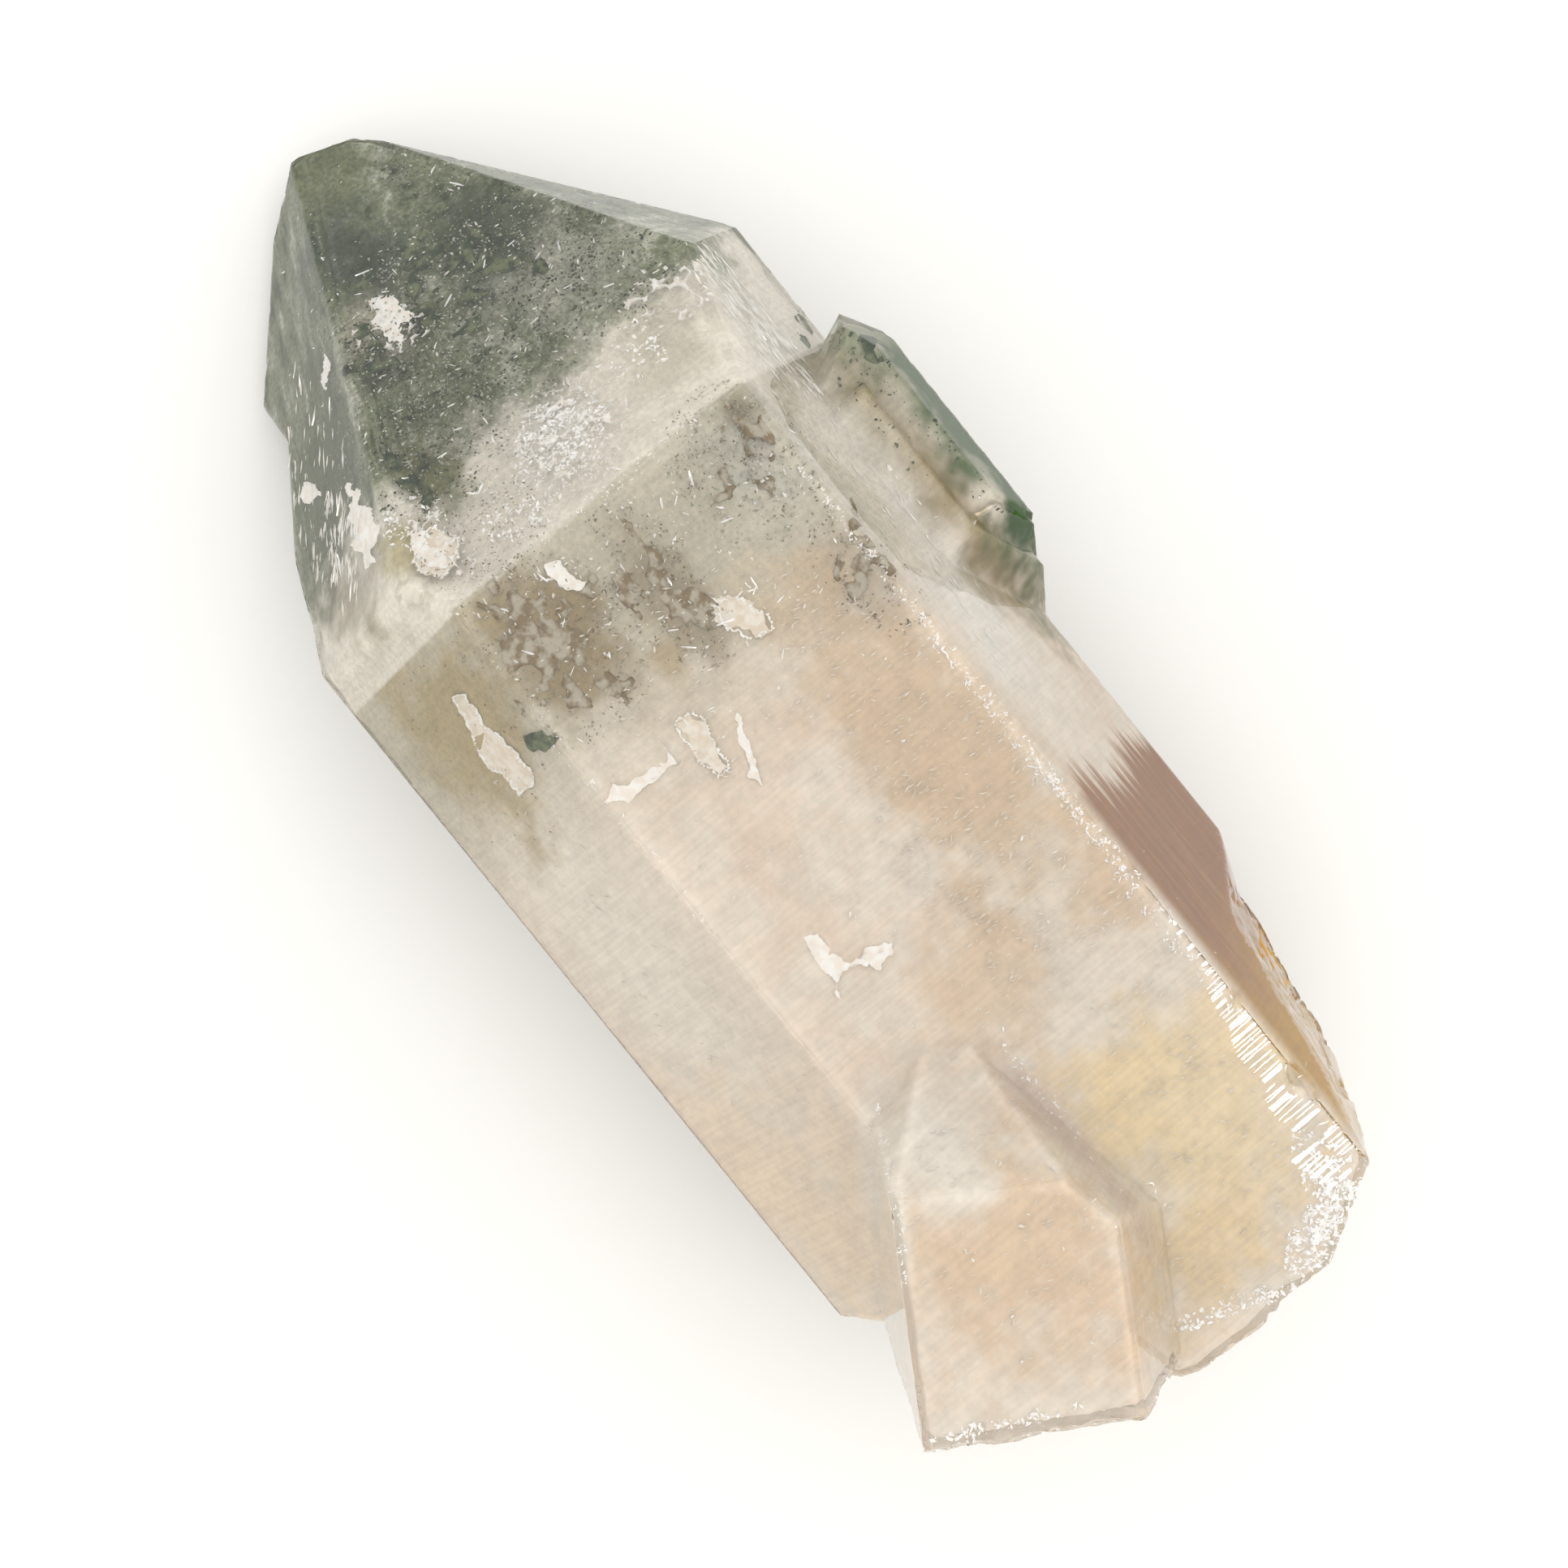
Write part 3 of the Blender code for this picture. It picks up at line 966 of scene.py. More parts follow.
@dataclass
class MilkyBody:
    """The milky quartz under the clear skin: close to it in the body, deeper in the tip."""

    depth: float = 0.45
    tip_depth: float = 1.3
    under_depth: float = 0.16
    tip_relief: float = 2.4
    least_depth: float = 0.14
    tip_from: float = 8.0
    tip_full: float = 20.0
    under_band: Plan = (15.0, 25.0)
    tip_band: Plan = (9.0, 16.0)
    layers: tuple[Plan, ...] = ((5.0, 0.5), (2.2, 0.3), (1.0, 0.2))
    seed: int = 1
    thinnest: float = 0.6
    thickening: float = 0.8

    def build(self, solid: SolidField) -> bpy.types.Object:
        """Build the milky body.

        Args:
            solid: Distances to the outer form.

        Returns:
            The body.
        """
        region = Region(solid)
        x, _, z = region.axes()
        tip = soft_step(x, self.tip_from, self.tip_full)
        top = soft_step(z, *self.under_band)
        top = top + (soft_step(z, *self.tip_band) - top) * tip
        depth = self.depth + (self.tip_depth - self.depth) * tip
        depth = self.under_depth + (depth - self.under_depth) * top
        uneven = region.cloud(self.layers, self.seed)
        hollows = self.tip_relief * tip * (uneven - 0.5)
        depth = depth * (self.thinnest + self.thickening * uneven) + hollows
        values = region.distance + np.maximum(depth, self.least_depth)
        mesh = region.surface("milky_body", values)
        return new_piece("milky_body", mesh, MilkyInside().material())


def closed_plates(rings: np.ndarray, offset: np.ndarray) -> tuple[np.ndarray, list[Face]]:
    """Make closed flat plates from their outlines.

    Args:
        rings: Outlines, as plates by corners by coordinates.
        offset: Thickness of each plate as a vector.

    Returns:
        Points and faces of all the plates.
    """
    plates, corners = rings.shape[:2]
    points = np.concatenate([rings, rings + offset[:, None, :]], axis=1).reshape(-1, 3)
    faces: list[Face] = []
    for first in range(0, plates * corners * 2, corners * 2):
        upper = first + corners
        faces.append(tuple(range(upper - 1, first - 1, -1)))
        faces.append(tuple(range(upper, upper + corners)))
        for corner in range(corners):
            after = (corner + 1) % corners
            faces.append((first + corner, first + after, upper + after, upper + corner))
    return points, faces


@dataclass(frozen=True)
class Cluster:
    """A place where small things crowd: its middle seen from above, its reach and its share."""

    centre: Plan
    reach: Plan
    share: float
    turn_deg: float = 0.0

    def spot(self, along: float, aside: float) -> Plan:
        """Give the place at two shares of its reach."""
        turn = math.radians(self.turn_deg)
        first, second = along * self.reach[0], aside * self.reach[1]
        return (self.centre[0] + first * math.cos(turn) - second * math.sin(turn),
                self.centre[1] + first * math.sin(turn) + second * math.cos(turn))


def unit(rows: np.ndarray) -> np.ndarray:
    """Bring each row to a length of one."""
    return rows / np.linalg.norm(rows, axis=1, keepdims=True)


@dataclass
class Flakes:
    """Many small thin plates held in the clear quartz under its faces."""

    name: str
    grain: Grain
    slot: Slot
    count: int
    size: Plan
    depth: Plan
    seed: int
    clusters: tuple[Cluster, ...]
    lump_size: float = 3.0
    clumping: float = 0.5
    stretch: float = 1.0
    lay_flat: float = 0.5
    corners: int = 4
    along_deg: float | None = None
    stray: float = 0.15
    tries: int = 8
    thinning: float = 0.6
    depth_bias: float = 1.5
    size_bias: float = 2.5
    cloud_from: float = 0.42
    cloud_contrast: float = 5.0
    corner_swing: float = 0.35
    radius_share: Plan = (0.55, 1.25)
    thickness_share: float = 0.18
    least_thickness: float = 0.01

    def accepts(self, x: float, y: float, draw: float) -> bool:
        """Say whether a lumpy cloud has a flake at a place.

        Args:
            x: Place along the crystal.
            y: Place across the crystal.
            draw: A random number from 0 to 1.

        Returns:
            True if the flake is kept.
        """
        place = Vector((x / self.lump_size, y / self.lump_size, self.seed))
        cloud = 0.5 + 0.5 * hills(place, 0.8, 4)
        dense = max(0.0, min(1.0, (cloud - self.cloud_from) * self.cloud_contrast))
        return draw < 1 - self.clumping + self.clumping * dense

    def places(self, outside: Outside) -> tuple[np.ndarray, np.ndarray]:
        """Choose where the flakes are.

        Args:
            outside: The outer form.

        Returns:
            Their middles and the normals of the faces above them.
        """
        random = np.random.default_rng(self.seed)
        shares = np.array([cluster.share for cluster in self.clusters])
        middles, normals = [], []
        tries = 0
        while len(middles) < self.count and tries < self.count * self.tries:
            tries += 1
            cluster = self.clusters[random.choice(len(shares), p=shares / shares.sum())]
            along, aside = random.uniform(-1, 1, 2)
            away = along ** 2 + aside ** 2
            x, y = cluster.spot(along, aside)
            draws = random.random(3)
            if away > 1 or draws[2] < away * self.thinning or not self.accepts(x, y, draws[0]):
                continue
            deeper = (self.depth[1] - self.depth[0]) * draws[1] ** self.depth_bias
            found = outside.beneath(x, y, self.depth[0] + deeper)
            if found is not None:
                middles.append(found[0])
                normals.append(found[1])
        return np.array(middles), np.array(normals)

    def build(self, outside: Outside) -> bpy.types.Object:
        """Build the flakes as one piece.

        Args:
            outside: The outer form.

        Returns:
            The piece.
        """
        middles, normals = self.places(outside)
        random = np.random.default_rng(self.seed + 1)
        count = len(middles)
        tilt = unit(random.normal(size=(count, 3)))
        facing = unit(normals * self.lay_flat + tilt * (1 - self.lay_flat))
        side = random.normal(size=(count, 3))
        if self.along_deg is not None:
            way = math.radians(self.along_deg)
            side = self.stray * side + (math.cos(way), math.sin(way), 0.0)
        side = unit(side - facing * np.sum(side * facing, axis=1, keepdims=True))
        other = np.cross(facing, side)
        size = self.size[0] + (self.size[1] - self.size[0]) * random.random(count) ** self.size_bias
        angles = np.linspace(0, 2 * math.pi, self.corners, endpoint=False)
        swing = self.corner_swing
        angles = angles[None, :] + random.uniform(-swing, swing, (count, self.corners))
        radius = 0.5 * size[:, None] * random.uniform(*self.radius_share, (count, self.corners))
        across = (radius * np.cos(angles) * self.stretch)[..., None] * side[:, None, :]
        up = (radius * np.sin(angles) / self.stretch)[..., None] * other[:, None, :]
        thickness = self.thickness_share * size[:, None] + self.least_thickness
        points, faces = closed_plates(middles[:, None, :] + across + up, facing * thickness)
        mesh = bpy.data.meshes.new(self.name)
        mesh.from_pydata((points * MM).tolist(), [], faces)
        mesh.validate()
        return new_piece(self.name, mesh, self.grain.material())


class Habit(Enum):
    """How an inner growth fills its place."""

    LUMPS = "lumps"
    VEILS = "veils"


@dataclass
class Growth:
    """Mossy lumps or thin curved veils that grow inside the quartz, near its faces."""

    name: str
    grain: Grain
    slot: Slot
    habit: Habit
    clusters: tuple[Cluster, ...]
    depth: Plan
    size: float
    fill: float
    seed: int
    stretch: Size = (1.0, 1.0, 1.0)
    thickness: float = 0.12
    layers: tuple[Plan, ...] = ((1.0, 0.55), (0.45, 0.3), (0.22, 0.15))
    broad: float = 3.0
    steepness: float = 1.6
    border_swing: float = 0.9
    border_shift: float = 0.12
    border_steepness: float = 3.0
    crowding: float = 0.25
    heights: Plan = (-1.0, 60.0)

    def spread(self, x: np.ndarray, y: np.ndarray) -> np.ndarray:
        """Give how far inside the clusters each place is, below zero outside them."""
        inside = np.full(np.broadcast_shapes(x.shape, y.shape), -1.0, np.float32)
        for cluster in self.clusters:
            away = np.hypot((x - cluster.centre[0]) / cluster.reach[0],
                            (y - cluster.centre[1]) / cluster.reach[1])
            inside = np.maximum(inside, (1 - away) * cluster.share)
        return inside

    def build(self, solid: SolidField) -> bpy.types.Object:
        """Build the growth as one piece.

        Args:
            solid: Distances to the outer form.

        Returns:
            The piece.
        """
        centres = np.array([cluster.centre for cluster in self.clusters])
        reaches = np.array([cluster.reach for cluster in self.clusters])
        low, high = (centres - reaches).min(0), (centres + reaches).max(0)
        region = Region(solid, np.array([*low, self.heights[0]]), np.array([*high, self.heights[1]]))
        x, y, _ = region.axes()
        layers = tuple((self.size * finer, share) for finer, share in self.layers)
        cloud = region.cloud(layers, self.seed, self.stretch)
        broad = region.lumps(self.size * self.broad, self.seed + len(layers))
        inside = self.spread(x, y)
        border = (0.5 - broad) * self.border_swing + self.border_shift - inside
        if self.habit is Habit.LUMPS:
            level = self.fill - self.crowding * np.clip(inside, 0, 1)
            form = (level - cloud) * self.size * self.steepness
        else:
            form = np.abs(cloud - 0.5) * self.size * self.steepness - self.thickness
        values = np.maximum(form, region.distance + self.depth[0])
        values = np.maximum(values, -region.distance - self.depth[1])
        values = np.maximum(values, border * self.border_steepness)
        return new_piece(self.name, region.surface(self.name, values), self.grain.material())


@dataclass(frozen=True)
class Sheet:
    """A thin ragged sheet under a face: its outline seen from above and its depth."""

    outline: tuple[Plan, ...]
    depth: float
    ragged: float = 0.16
    wave: float = 0.25


@dataclass
class Cracks:
    """Healed fractures: thin sheets that catch the light inside the quartz."""

    name: str
    grain: Grain
    sheets: tuple[Sheet, ...]
    seed: int
    finest: float = 0.1
    cell: float = 0.45
    thickness: float = 0.05
    rim: float = 0.0
    rounds: int = 7
    middle: Plan = (0.35, 0.65)
    rim_share: Plan = (0.1, 1.0)
    rim_bias: float = 1.5
    cell_swing: float = 0.1
    wave_share: float = 0.5
    least_depth: float = 0.15
    weld: float = 1e-4

    def roughen(self, outline: tuple[Plan, ...], ragged: float, random: np.random.Generator) -> list[Plan]:
        """Make an outline ragged by moving the middle of each stretch, again and again.

        Args:
            outline: The outline.
            ragged: How far a middle may move, as a share of its stretch.
            random: Source of the moves.

        Returns:
            The ragged outline.
        """
        points = [Vector(point) for point in outline]
        for _ in range(self.rounds):
            finer: list[Vector] = []
            for here, there in zip(points, points[1:] + points[:1]):
                finer.append(here)
                span = there - here
                if span.length > self.finest:
                    off = Vector((-span.y, span.x)) * float(random.uniform(-ragged, ragged))
                    finer.append(here + span * float(random.uniform(*self.middle)) + off)
            points = finer
        return [(point.x, point.y) for point in points]

    def full_faces(self, outline: list[Plan],
                   random: np.random.Generator) -> tuple[list[Vector], list[Face]]:
        """Fill an outline with triangles.

        Args:
            outline: The outline.
            random: Source of the inner points' unevenness.

        Returns:
            Points seen from above and the triangles.
        """
        xs, ys = zip(*outline)
        swing = self.cell_swing
        inner = [Vector((x + random.uniform(-swing, swing), y + random.uniform(-swing, swing)))
                 for x in np.arange(min(xs), max(xs), self.cell)
                 for y in np.arange(min(ys), max(ys), self.cell)]
        flat = [Vector(point) for point in outline] + inner
        verts, _, faces, *_ = delaunay_2d_cdt(flat, [], [list(range(len(outline)))], 1, self.weld)
        return verts, faces

    def rim_faces(self, outline: list[Plan],
                  random: np.random.Generator) -> tuple[list[Vector], list[Face]]:
        """Follow an outline with a narrow band of uneven width.

        Args:
            outline: The outline.
            random: Source of the unevenness.

        Returns:
            Points seen from above and the four-sided faces.
        """
        outer = [Vector(point) for point in outline]
        count = len(outer)
        inner = []
        for place in range(count):
            span = (outer[(place + 2) % count] - outer[place - 2]).normalized()
            width = self.rim * float(random.uniform(*self.rim_share)) ** self.rim_bias
            inner.append(outer[place] + Vector((-span.y, span.x)) * width)
        pairs = [(place, (place + 1) % count) for place in range(count)]
        return outer + inner, [(here, there, count + there, count + here) for here, there in pairs]

    def sheet_mesh(self, outside: Outside, sheet: Sheet,
                   random: np.random.Generator) -> tuple[list[Vector], list[Face]]:
        """Lay one sheet under the faces.

        Args:
            outside: The outer form.
            sheet: The sheet.
            random: Source of its raggedness.

        Returns:
            Its points and faces.
        """
        outline = self.roughen(sheet.outline, sheet.ragged, random)
        verts, faces = self.rim_faces(outline, random) if self.rim else self.full_faces(outline, random)
        points = []
        for vert in verts:
            wave = sheet.wave * hills(Vector((vert.x, vert.y, sheet.depth)) * self.wave_share)
            found = outside.beneath(vert.x, vert.y, max(self.least_depth, sheet.depth + wave))
            points.append(None if found is None else Vector(found[0]))
        kept = [tuple(face) for face in faces if all(points[corner] is not None for corner in face)]
        return [point or Vector() for point in points], kept

    def build(self, outside: Outside) -> bpy.types.Object:
        """Build all the sheets as one piece.

        Args:
            outside: The outer form.

        Returns:
            The piece.
        """
        random = np.random.default_rng(self.seed)
        form = bmesh.new()
        for sheet in self.sheets:
            points, faces = self.sheet_mesh(outside, sheet, random)
            verts = [form.verts.new(point * MM) for point in points]
            for face in faces:
                form.faces.new([verts[corner] for corner in face])
        bmesh.ops.delete(form, geom=[vert for vert in form.verts if not vert.link_faces], context="VERTS")
        bmesh.ops.solidify(form, geom=form.faces[:], thickness=self.thickness * MM)
        return new_piece(self.name, mesh_of(form, self.name), self.grain.material())


def turned(degrees: float, axis: str) -> Matrix:
    """Give a turn about an axis."""
    return Matrix.Rotation(math.radians(degrees), 3, axis)


@dataclass
class Studio:
    """Floor, soft light and the camera at the photograph's angle."""

    lens_mm: float = 77.48
    sensor_mm: float = 36.0
    nearest_m: float = 0.01
    eye: Size = (0.483, 21.324, 216.43)
    roll_deg: float = -129.41
    twist_deg: float = -0.51
    lean_deg: float = -1.35
    nod_deg: float = 5.64
    floor_size_m: float = 3.0
    floor_colour: Colour = rgb(214, 214, 213)
    light_colour: Colour = (1.0, 0.985, 0.95, 1.0)
    light_at_horizon: float = 1.46
    light_overhead: float = 1.96
    glint_spot: Size = (-35.0, -8.4, 28.4)
    glint_normal: Size = (0.0, -0.045, 1.0)
    lamp_away_m: float = 0.6
    lamp_size_m: float = 0.034
    lamp_radiance: float = 36.0
    bounces: tuple[tuple[str, int], ...] = (("max", 9), ("diffuse", 2), ("glossy", 3), ("transmission", 8))

    def camera(self) -> None:
        """Place the camera as the photograph was taken."""
        data = bpy.data.cameras.new("photo_camera")
        data.lens = self.lens_mm
        data.sensor_width = self.sensor_mm
        data.clip_start = self.nearest_m
        camera = add_object("photo_camera", data)
        turn = turned(self.twist_deg, "Z") @ turned(self.lean_deg, "Y") @ turned(self.nod_deg, "X")
        facing = turn.transposed() @ turned(self.roll_deg, "Z")
        camera.matrix_world = Matrix.Translation(Vector(self.eye) * MM) @ facing.to_4x4()
        bpy.context.scene.camera = camera

    def floor(self) -> None:
        """Lay the pale floor under the crystal."""
        half = self.floor_size_m / 2
        mesh = bpy.data.meshes.new("floor")
        corners = [(-half, -half, 0), (half, -half, 0), (half, half, 0), (-half, half, 0)]
        mesh.from_pydata(corners, [], [(0, 1, 2, 3)])
        graph = ShaderGraph("pale_floor")
        graph.principled(Base_Color=self.floor_colour, Roughness=0.9, Specular_IOR_Level=0.1)
        mesh.materials.append(graph.material)
        floor = add_object("floor", mesh)

    def light(self) -> None:
        """Light the scene softly from all over the upper half, brighter overhead."""
        world = bpy.data.worlds.new("studio")
        world.use_nodes = True
        tree = world.node_tree
        background = tree.nodes["Background"]
        background.inputs["Color"].default_value = self.light_colour
        split = tree.nodes.new("ShaderNodeSeparateXYZ")
        tree.links.new(tree.nodes.new("ShaderNodeTexCoord").outputs["Generated"], split.inputs["Vector"])
        strength = tree.nodes.new("ShaderNodeMapRange")
        tree.links.new(split.outputs["Z"], strength.inputs["Value"])
        strength.inputs["To Min"].default_value = self.light_at_horizon
        strength.inputs["To Max"].default_value = self.light_overhead
        tree.links.new(strength.outputs["Result"], background.inputs["Strength"])
        world.cycles.sampling_method = "NONE"
        bpy.context.scene.world = world

    def glint_lamp(self) -> None:
        """Hang the small lamp whose mirror image shines on the striated edge."""
        data = bpy.data.lights.new("glint_lamp", "AREA")
        data.shape = "DISK"
        data.size = self.lamp_size_m
        data.energy = self.lamp_radiance * math.pi * math.pi * (self.lamp_size_m / 2) ** 2
        lamp = add_object("glint_lamp", data)
        spot = Vector(self.glint_spot) * MM
        sight = (Vector(self.eye) * MM - spot).normalized()
        normal = Vector(self.glint_normal).normalized()
        beam = 2 * normal.dot(sight) * normal - sight
        facing = beam.to_track_quat("Z", "Y").to_matrix().to_4x4()
        lamp.matrix_world = Matrix.Translation(spot + beam * self.lamp_away_m) @ facing
        lamp.visible_diffuse = False
        lamp.visible_transmission = False

    def light_paths(self) -> None:
        """Let light bounce often enough to leave the clear skin again."""
        for kind, count in self.bounces:
            setattr(bpy.context.scene.cycles, f"{kind}_bounces", count)

    def build(self) -> None:
        """Set up camera, floor, light and the plain view of colours."""
        self.camera()
        self.floor()
        self.light()
        self.glint_lamp()
        self.light_paths()
        bpy.context.scene.view_settings.view_transform = "Standard"


GROWTHS = (
    Growth("chlorite_moss", DARK_CHLORITE, Slot.CHLORITE, Habit.LUMPS,
           (Cluster((34.0, -1.5), (12.0, 12.0), 0.8), Cluster((22.5, 7.0), (3.6, 4.0), 0.6),
            Cluster((9.0, -19.0), (9.0, 4.0), 0.8)), (0.35, 1.6), 1.3, 0.74, 31),
    Growth("brown_moss", BROWN_GRAIN, Slot.CHLORITE, Habit.LUMPS,
           (Cluster((10.0, 8.2), (5.5, 4.6), 1.0), Cluster((8.5, 1.2), (6.0, 2.4), 0.8),
            Cluster((12.0, -7.0), (3.5, 3.0), 0.5), Cluster((2.5, -8.6), (4.5, 2.4), 0.6)),
           (0.25, 0.8), 0.75, 0.64, 41, stretch=(1.3, 0.9, 1.0)),
    Growth("white_veils", WHITE_CRACK_AND_GLINT, Slot.MILKY, Habit.VEILS,
           (Cluster((19.2, -0.2), (3.0, 3.6), 1.0), Cluster((31.5, 2.5), (3.5, 2.6), 0.7),
            Cluster((18.5, 9.4), (2.4, 2.2), 0.6), Cluster((21.5, -10.0), (2.4, 3.0), 0.6)),
           (0.25, 0.9), 0.9, 0.5, 51, thickness=0.04),
)
FLAKES = (
    Flakes("dark_chlorite_flakes", DARK_CHLORITE, Slot.CHLORITE, 9000, (0.06, 0.3), (0.25, 1.6), 11,
           (Cluster((33.0, -2.5), (11.0, 9.0), 1.0), Cluster((34.0, 6.5), (9.0, 9.0), 0.8),
            Cluster((28.5, -8.5), (7.0, 6.0), 0.4), Cluster((23.5, 6.5), (4.0, 5.0), 0.2),
            Cluster((8.0, -18.6), (10.0, 3.5), 0.5)), clumping=0.85, lump_size=2.2),
    Flakes("pale_chlorite_flakes", PALE_CHLORITE, Slot.CHLORITE, 8000, (0.05, 0.28), (0.25, 1.4), 12,
           (Cluster((32.5, 0.0), (11.5, 13.0), 1.0), Cluster((22.0, 5.0), (4.0, 7.0), 0.1),
            Cluster((11.0, -6.5), (4.5, 4.5), 0.12)), clumping=0.7, lump_size=1.6),
    Flakes("brown_grains", BROWN_GRAIN, Slot.CHLORITE, 6500, (0.04, 0.2), (0.25, 0.7), 13,
           (Cluster((10.0, 8.0), (6.0, 5.0), 1.0), Cluster((9.0, 1.2), (6.0, 2.8), 0.6),
            Cluster((11.5, -7.0), (5.0, 4.0), 0.5), Cluster((2.5, -8.6), (4.5, 2.6), 0.35),
            Cluster((18.0, 7.0), (4.0, 4.0), 0.3), Cluster((8.0, 15.0), (7.0, 3.0), 0.2)),
           clumping=0.9, lump_size=1.1, stretch=1.3),
    # White specks whose painted glow stands in for the glints of small cracks.
    Flakes("white_specks", WHITE_CRACK_AND_GLINT, Slot.MILKY, 3200, (0.03, 0.3), (0.15, 0.9), 14,
           (Cluster((19.0, -0.5), (3.5, 4.0), 1.0), Cluster((30.0, -1.0), (14.0, 11.0), 0.8),
            Cluster((10.0, 0.0), (8.0, 11.0), 0.8), Cluster((16.0, 6.0), (4.0, 6.0), 0.3),
            Cluster((-31.0, 9.0), (8.0, 6.0), 0.15), Cluster((-15.0, -2.0), (24.0, 10.0), 0.3)),
           clumping=0.85, lump_size=1.2, stretch=1.5),
    # White threads whose painted glow stands in for the glints of curved cracks.
    Flakes("white_threads", CHIP_AND_GLINT, Slot.MILKY, 380, (0.06, 0.42), (0.15, 0.6), 15,
           (Cluster((29.0, -1.0), (14.0, 12.0), 1.0), Cluster((9.0, 0.0), (8.0, 12.0), 0.7)),
           clumping=0.85, lump_size=1.6, stretch=2.6),
    # White burst whose painted glow stands in for the light thrown back by a fracture.
    Flakes("white_burst", CHIP_AND_GLINT, Slot.MILKY, 1500, (0.03, 0.32), (0.15, 0.8), 24,
           (Cluster((19.2, -0.2), (2.4, 3.0), 1.0), Cluster((17.4, 4.4), (1.8, 2.6), 0.25),
            Cluster((20.8, 9.6), (2.0, 2.2), 0.2), Cluster((20.6, -6.6), (1.8, 2.4), 0.25)),
           clumping=0.9, lump_size=0.9, stretch=1.5),
    Flakes("strip_streaks", WHITE_CRACK_AND_GLINT, Slot.MILKY, 480, (0.06, 0.7), (0.15, 0.6), 16,
           (Cluster((27.5, 11.6), (8.5, 2.2), 1.0, -24.0), Cluster((23.0, 12.6), (3.0, 1.6), 0.6, -24.0)),
           clumping=0.95, lump_size=1.2, stretch=2.2, lay_flat=0.8, along_deg=-24.0),
    Flakes("side_streaks", WHITE_CRACK_AND_GLINT, Slot.MILKY, 700, (0.12, 0.6), (0.15, 0.5), 17,
           (Cluster((18.0, -13.6), (6.0, 1.6), 1.0), Cluster((4.0, -12.6), (14.0, 2.2), 0.5)),
           clumping=0.8, lump_size=1.2, stretch=2.3, lay_flat=0.8, along_deg=0.0),
    Flakes("cross_striae", PALE_STRIA, Slot.MILKY, 5200, (0.03, 0.24), (0.13, 0.3), 18,
           (Cluster((-14.0, -4.5), (18.0, 5.5), 1.0), Cluster((-8.0, 2.0), (20.0, 8.0), 0.4),
            Cluster((-36.0, -3.0), (8.0, 7.0), 0.35), Cluster((-31.0, 9.0), (8.0, 6.0), 0.25),
            Cluster((-10.0, 14.0), (18.0, 3.0), 0.2), Cluster((2.0, -12.4), (13.0, 2.4), 0.2)),
           clumping=0.8, lump_size=2.2, stretch=2.4, lay_flat=0.9, along_deg=82.0, stray=0.3),
    # Edge chips, partly painted glints: white chips that glow along the worn edges.
    Flakes("edge_chips_and_glints", CHIP_AND_GLINT, Slot.MILKY, 1500, (0.03, 0.24), (0.13, 0.35), 19,
           (Cluster((-6.0, -9.2), (16.0, 0.5), 1.0), Cluster((-20.0, -9.1), (12.0, 0.7), 0.7),
            Cluster((-25.4, 12.9), (5.4, 0.35), 0.25, -35.0), Cluster((-27.0, 2.4), (7.0, 0.5), 0.15, -3.0),
            Cluster((15.1, 0.0), (0.35, 9.6), 0.12), Cluster((0.0, 11.1), (14.0, 0.3), 0.1)),
           clumping=0.9, lump_size=0.7, stretch=1.6),
    # Base crumbs, partly painted sparkle: white crumbs that glow along the broken base.
    Flakes("base_crumbs_and_sparkle", CHIP_AND_GLINT, Slot.MILKY, 1900, (0.04, 0.36), (0.16, 0.6), 20,
           (Cluster((-38.2, 15.9), (4.4, 0.4), 0.15, 63.0), Cluster((-42.9, 1.3), (4.2, 0.6), 0.35, 69.0),
            Cluster((-42.6, -5.0), (3.1, 1.4), 1.0, -72.5), Cluster((-41.0, -7.4), (3.6, 1.6), 0.7)),
           clumping=0.7, lump_size=0.9, stretch=1.3),
)
PEACH_SHEETS = (
    Sheet(((11.7, 13.8), (9.4, 14.2), (6.7, 14.4), (4.9, 14.3), (4.8, 13.5), (6.7, 13.0), (9.1, 13.4),
           (11.3, 13.1)), 0.32),
    Sheet(((2.5, 5.3), (2.4, 4.4), (1.5, 4.0), (-0.2, 4.5), (-1.3, 4.6), (-1.3, 5.3), (-0.2, 5.6),
           (1.1, 5.4)), 0.35),
    Sheet(((19.8, 8.8), (18.4, 8.2), (17.4, 8.8), (17.0, 10.2), (18.2, 10.9), (19.4, 10.4)), 0.5, 0.2),
    Sheet(((6.8, -0.4), (5.9, -1.7), (4.2, -2.4), (3.2, -2.2), (3.4, -1.2), (4.9, -0.3)), 0.35, 0.2),
)
RIM_DEPTHS = (0.26, 0.28, 0.42, 0.28)
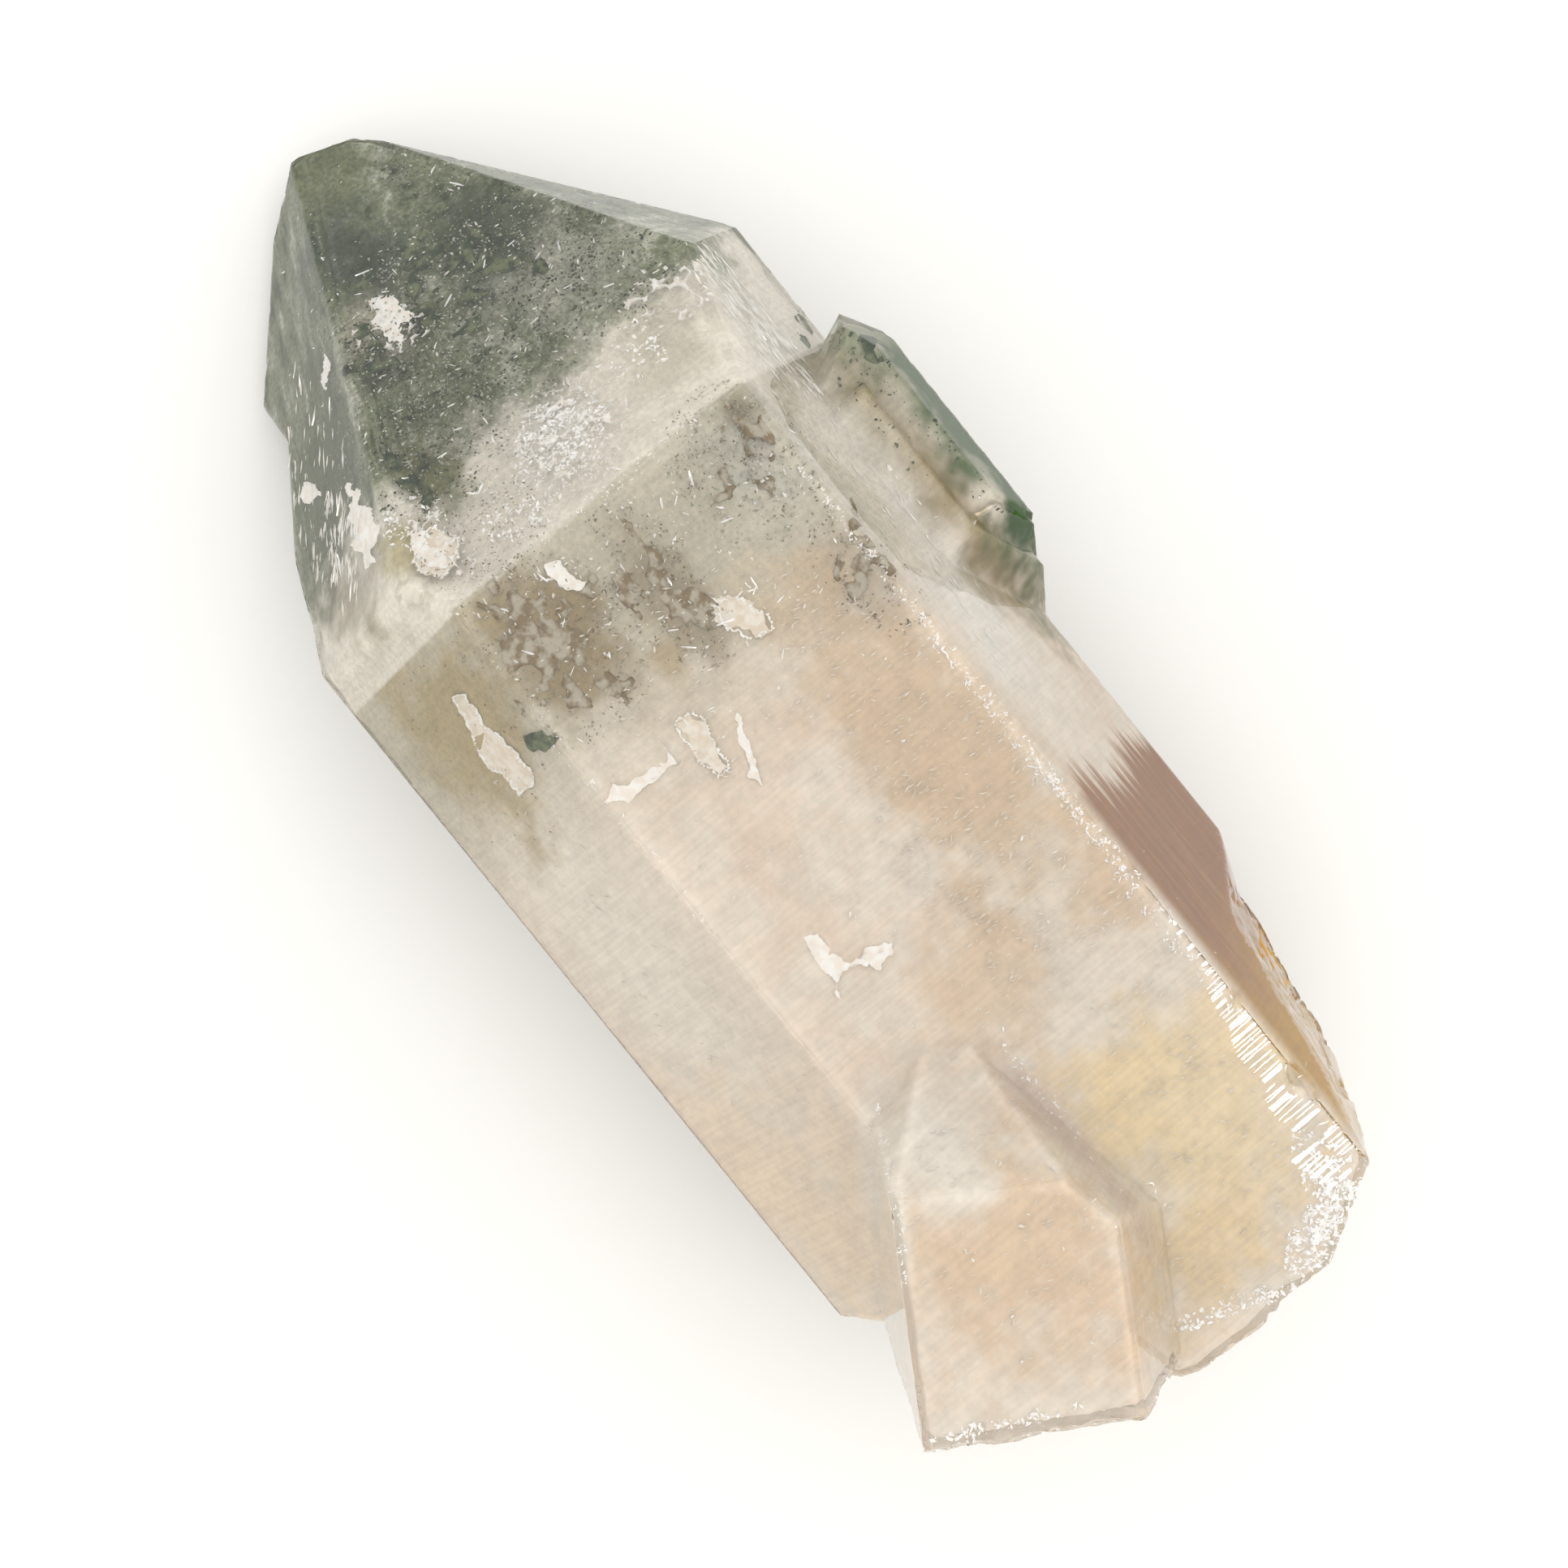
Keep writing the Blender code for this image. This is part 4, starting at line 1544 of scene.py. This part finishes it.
CRACKS = (
    Cracks("white_fractures", WHITE_CRACK_AND_GLINT, (
        Sheet(((1.6, 11.2), (0.6, 10.2), (0.8, 8.6), (0.7, 6.7), (2.1, 6.6), (1.1, 7.1), (1.4, 8.7),
               (2.1, 10.2)), 0.32),
        Sheet(((1.2, 2.6), (0.4, 2.2), (-1.2, 2.9), (-3.4, 3.8), (-2.4, 4.1), (-0.8, 3.3)), 0.3),
        Sheet(((14.0, 5.4), (13.6, 4.6), (12.8, 4.7), (11.8, 4.2), (11.6, 4.8), (12.5, 5.6)), 0.3),
        Sheet(((-11.3, 7.3), (-11.7, 6.5), (-13.8, 6.4), (-14.3, 4.4), (-14.7, 3.6), (-15.5, 5.1),
               (-14.3, 6.2), (-15.3, 7.9), (-13.8, 7.5)), 0.28, 0.24),
        Sheet(((44.0, -0.4), (43.6, -1.2), (42.6, -2.0), (42.5, -0.9), (42.9, -0.3)), 0.25, 0.24),
        Sheet(((34.0, 3.4), (32.6, 1.2), (30.9, 0.8), (31.4, 2.0), (30.2, 2.6), (32.4, 3.2)), 0.4, 0.26),
        Sheet(((20.4, 9.8), (19.9, 9.2), (18.9, 9.7), (18.1, 9.1), (17.3, 9.7), (18.0, 10.4),
               (19.0, 10.5)), 0.4),
        Sheet(((25.8, 10.4), (24.6, 10.2), (22.4, 10.9), (20.4, 12.2), (20.6, 12.9), (22.0, 12.6),
               (23.9, 11.7)), 0.3, 0.28),
        Sheet(((33.3, 6.3), (32.6, 6.4), (31.2, 7.6), (30.8, 8.5), (32.5, 7.3)), 0.3, 0.24),
        Sheet(((29.5, 11.0), (28.3, 10.8), (26.5, 11.9), (26.8, 12.7), (28.4, 12.1)), 0.3, 0.28),
    ), 21),
    Cracks("peach_fractures", PEACH_CRACK, PEACH_SHEETS, 22),
    Cracks("fracture_rims", WHITE_CRACK_AND_GLINT,
           tuple(replace(sheet, depth=depth) for sheet, depth in zip(PEACH_SHEETS, RIM_DEPTHS)),
           22, rim=0.22),
    Cracks("dark_crystal", DARK_CHLORITE, (
        Sheet(((7.3, 12.2), (6.9, 11.3), (5.9, 10.9), (5.8, 11.8), (6.5, 12.4)), 0.3),
    ), 23),
)


def main() -> None:
    """Build the crystal's pieces in order."""
    logging.basicConfig(level=logging.INFO, format="%(name)s %(message)s")
    Studio().build()
    outside = Outside()
    solid = SolidField(outside, step=0.4, reach=4.0)
    ClearSkin().build(outside)
    MilkyBody().build(solid)
    fine = SolidField(outside, step=0.2, reach=3.0)
    for growth in GROWTHS:
        growth.build(fine)
    for flakes in FLAKES:
        flakes.build(outside)
    for cracks in CRACKS:
        cracks.build(outside)


if __name__ == "__main__":
    main()
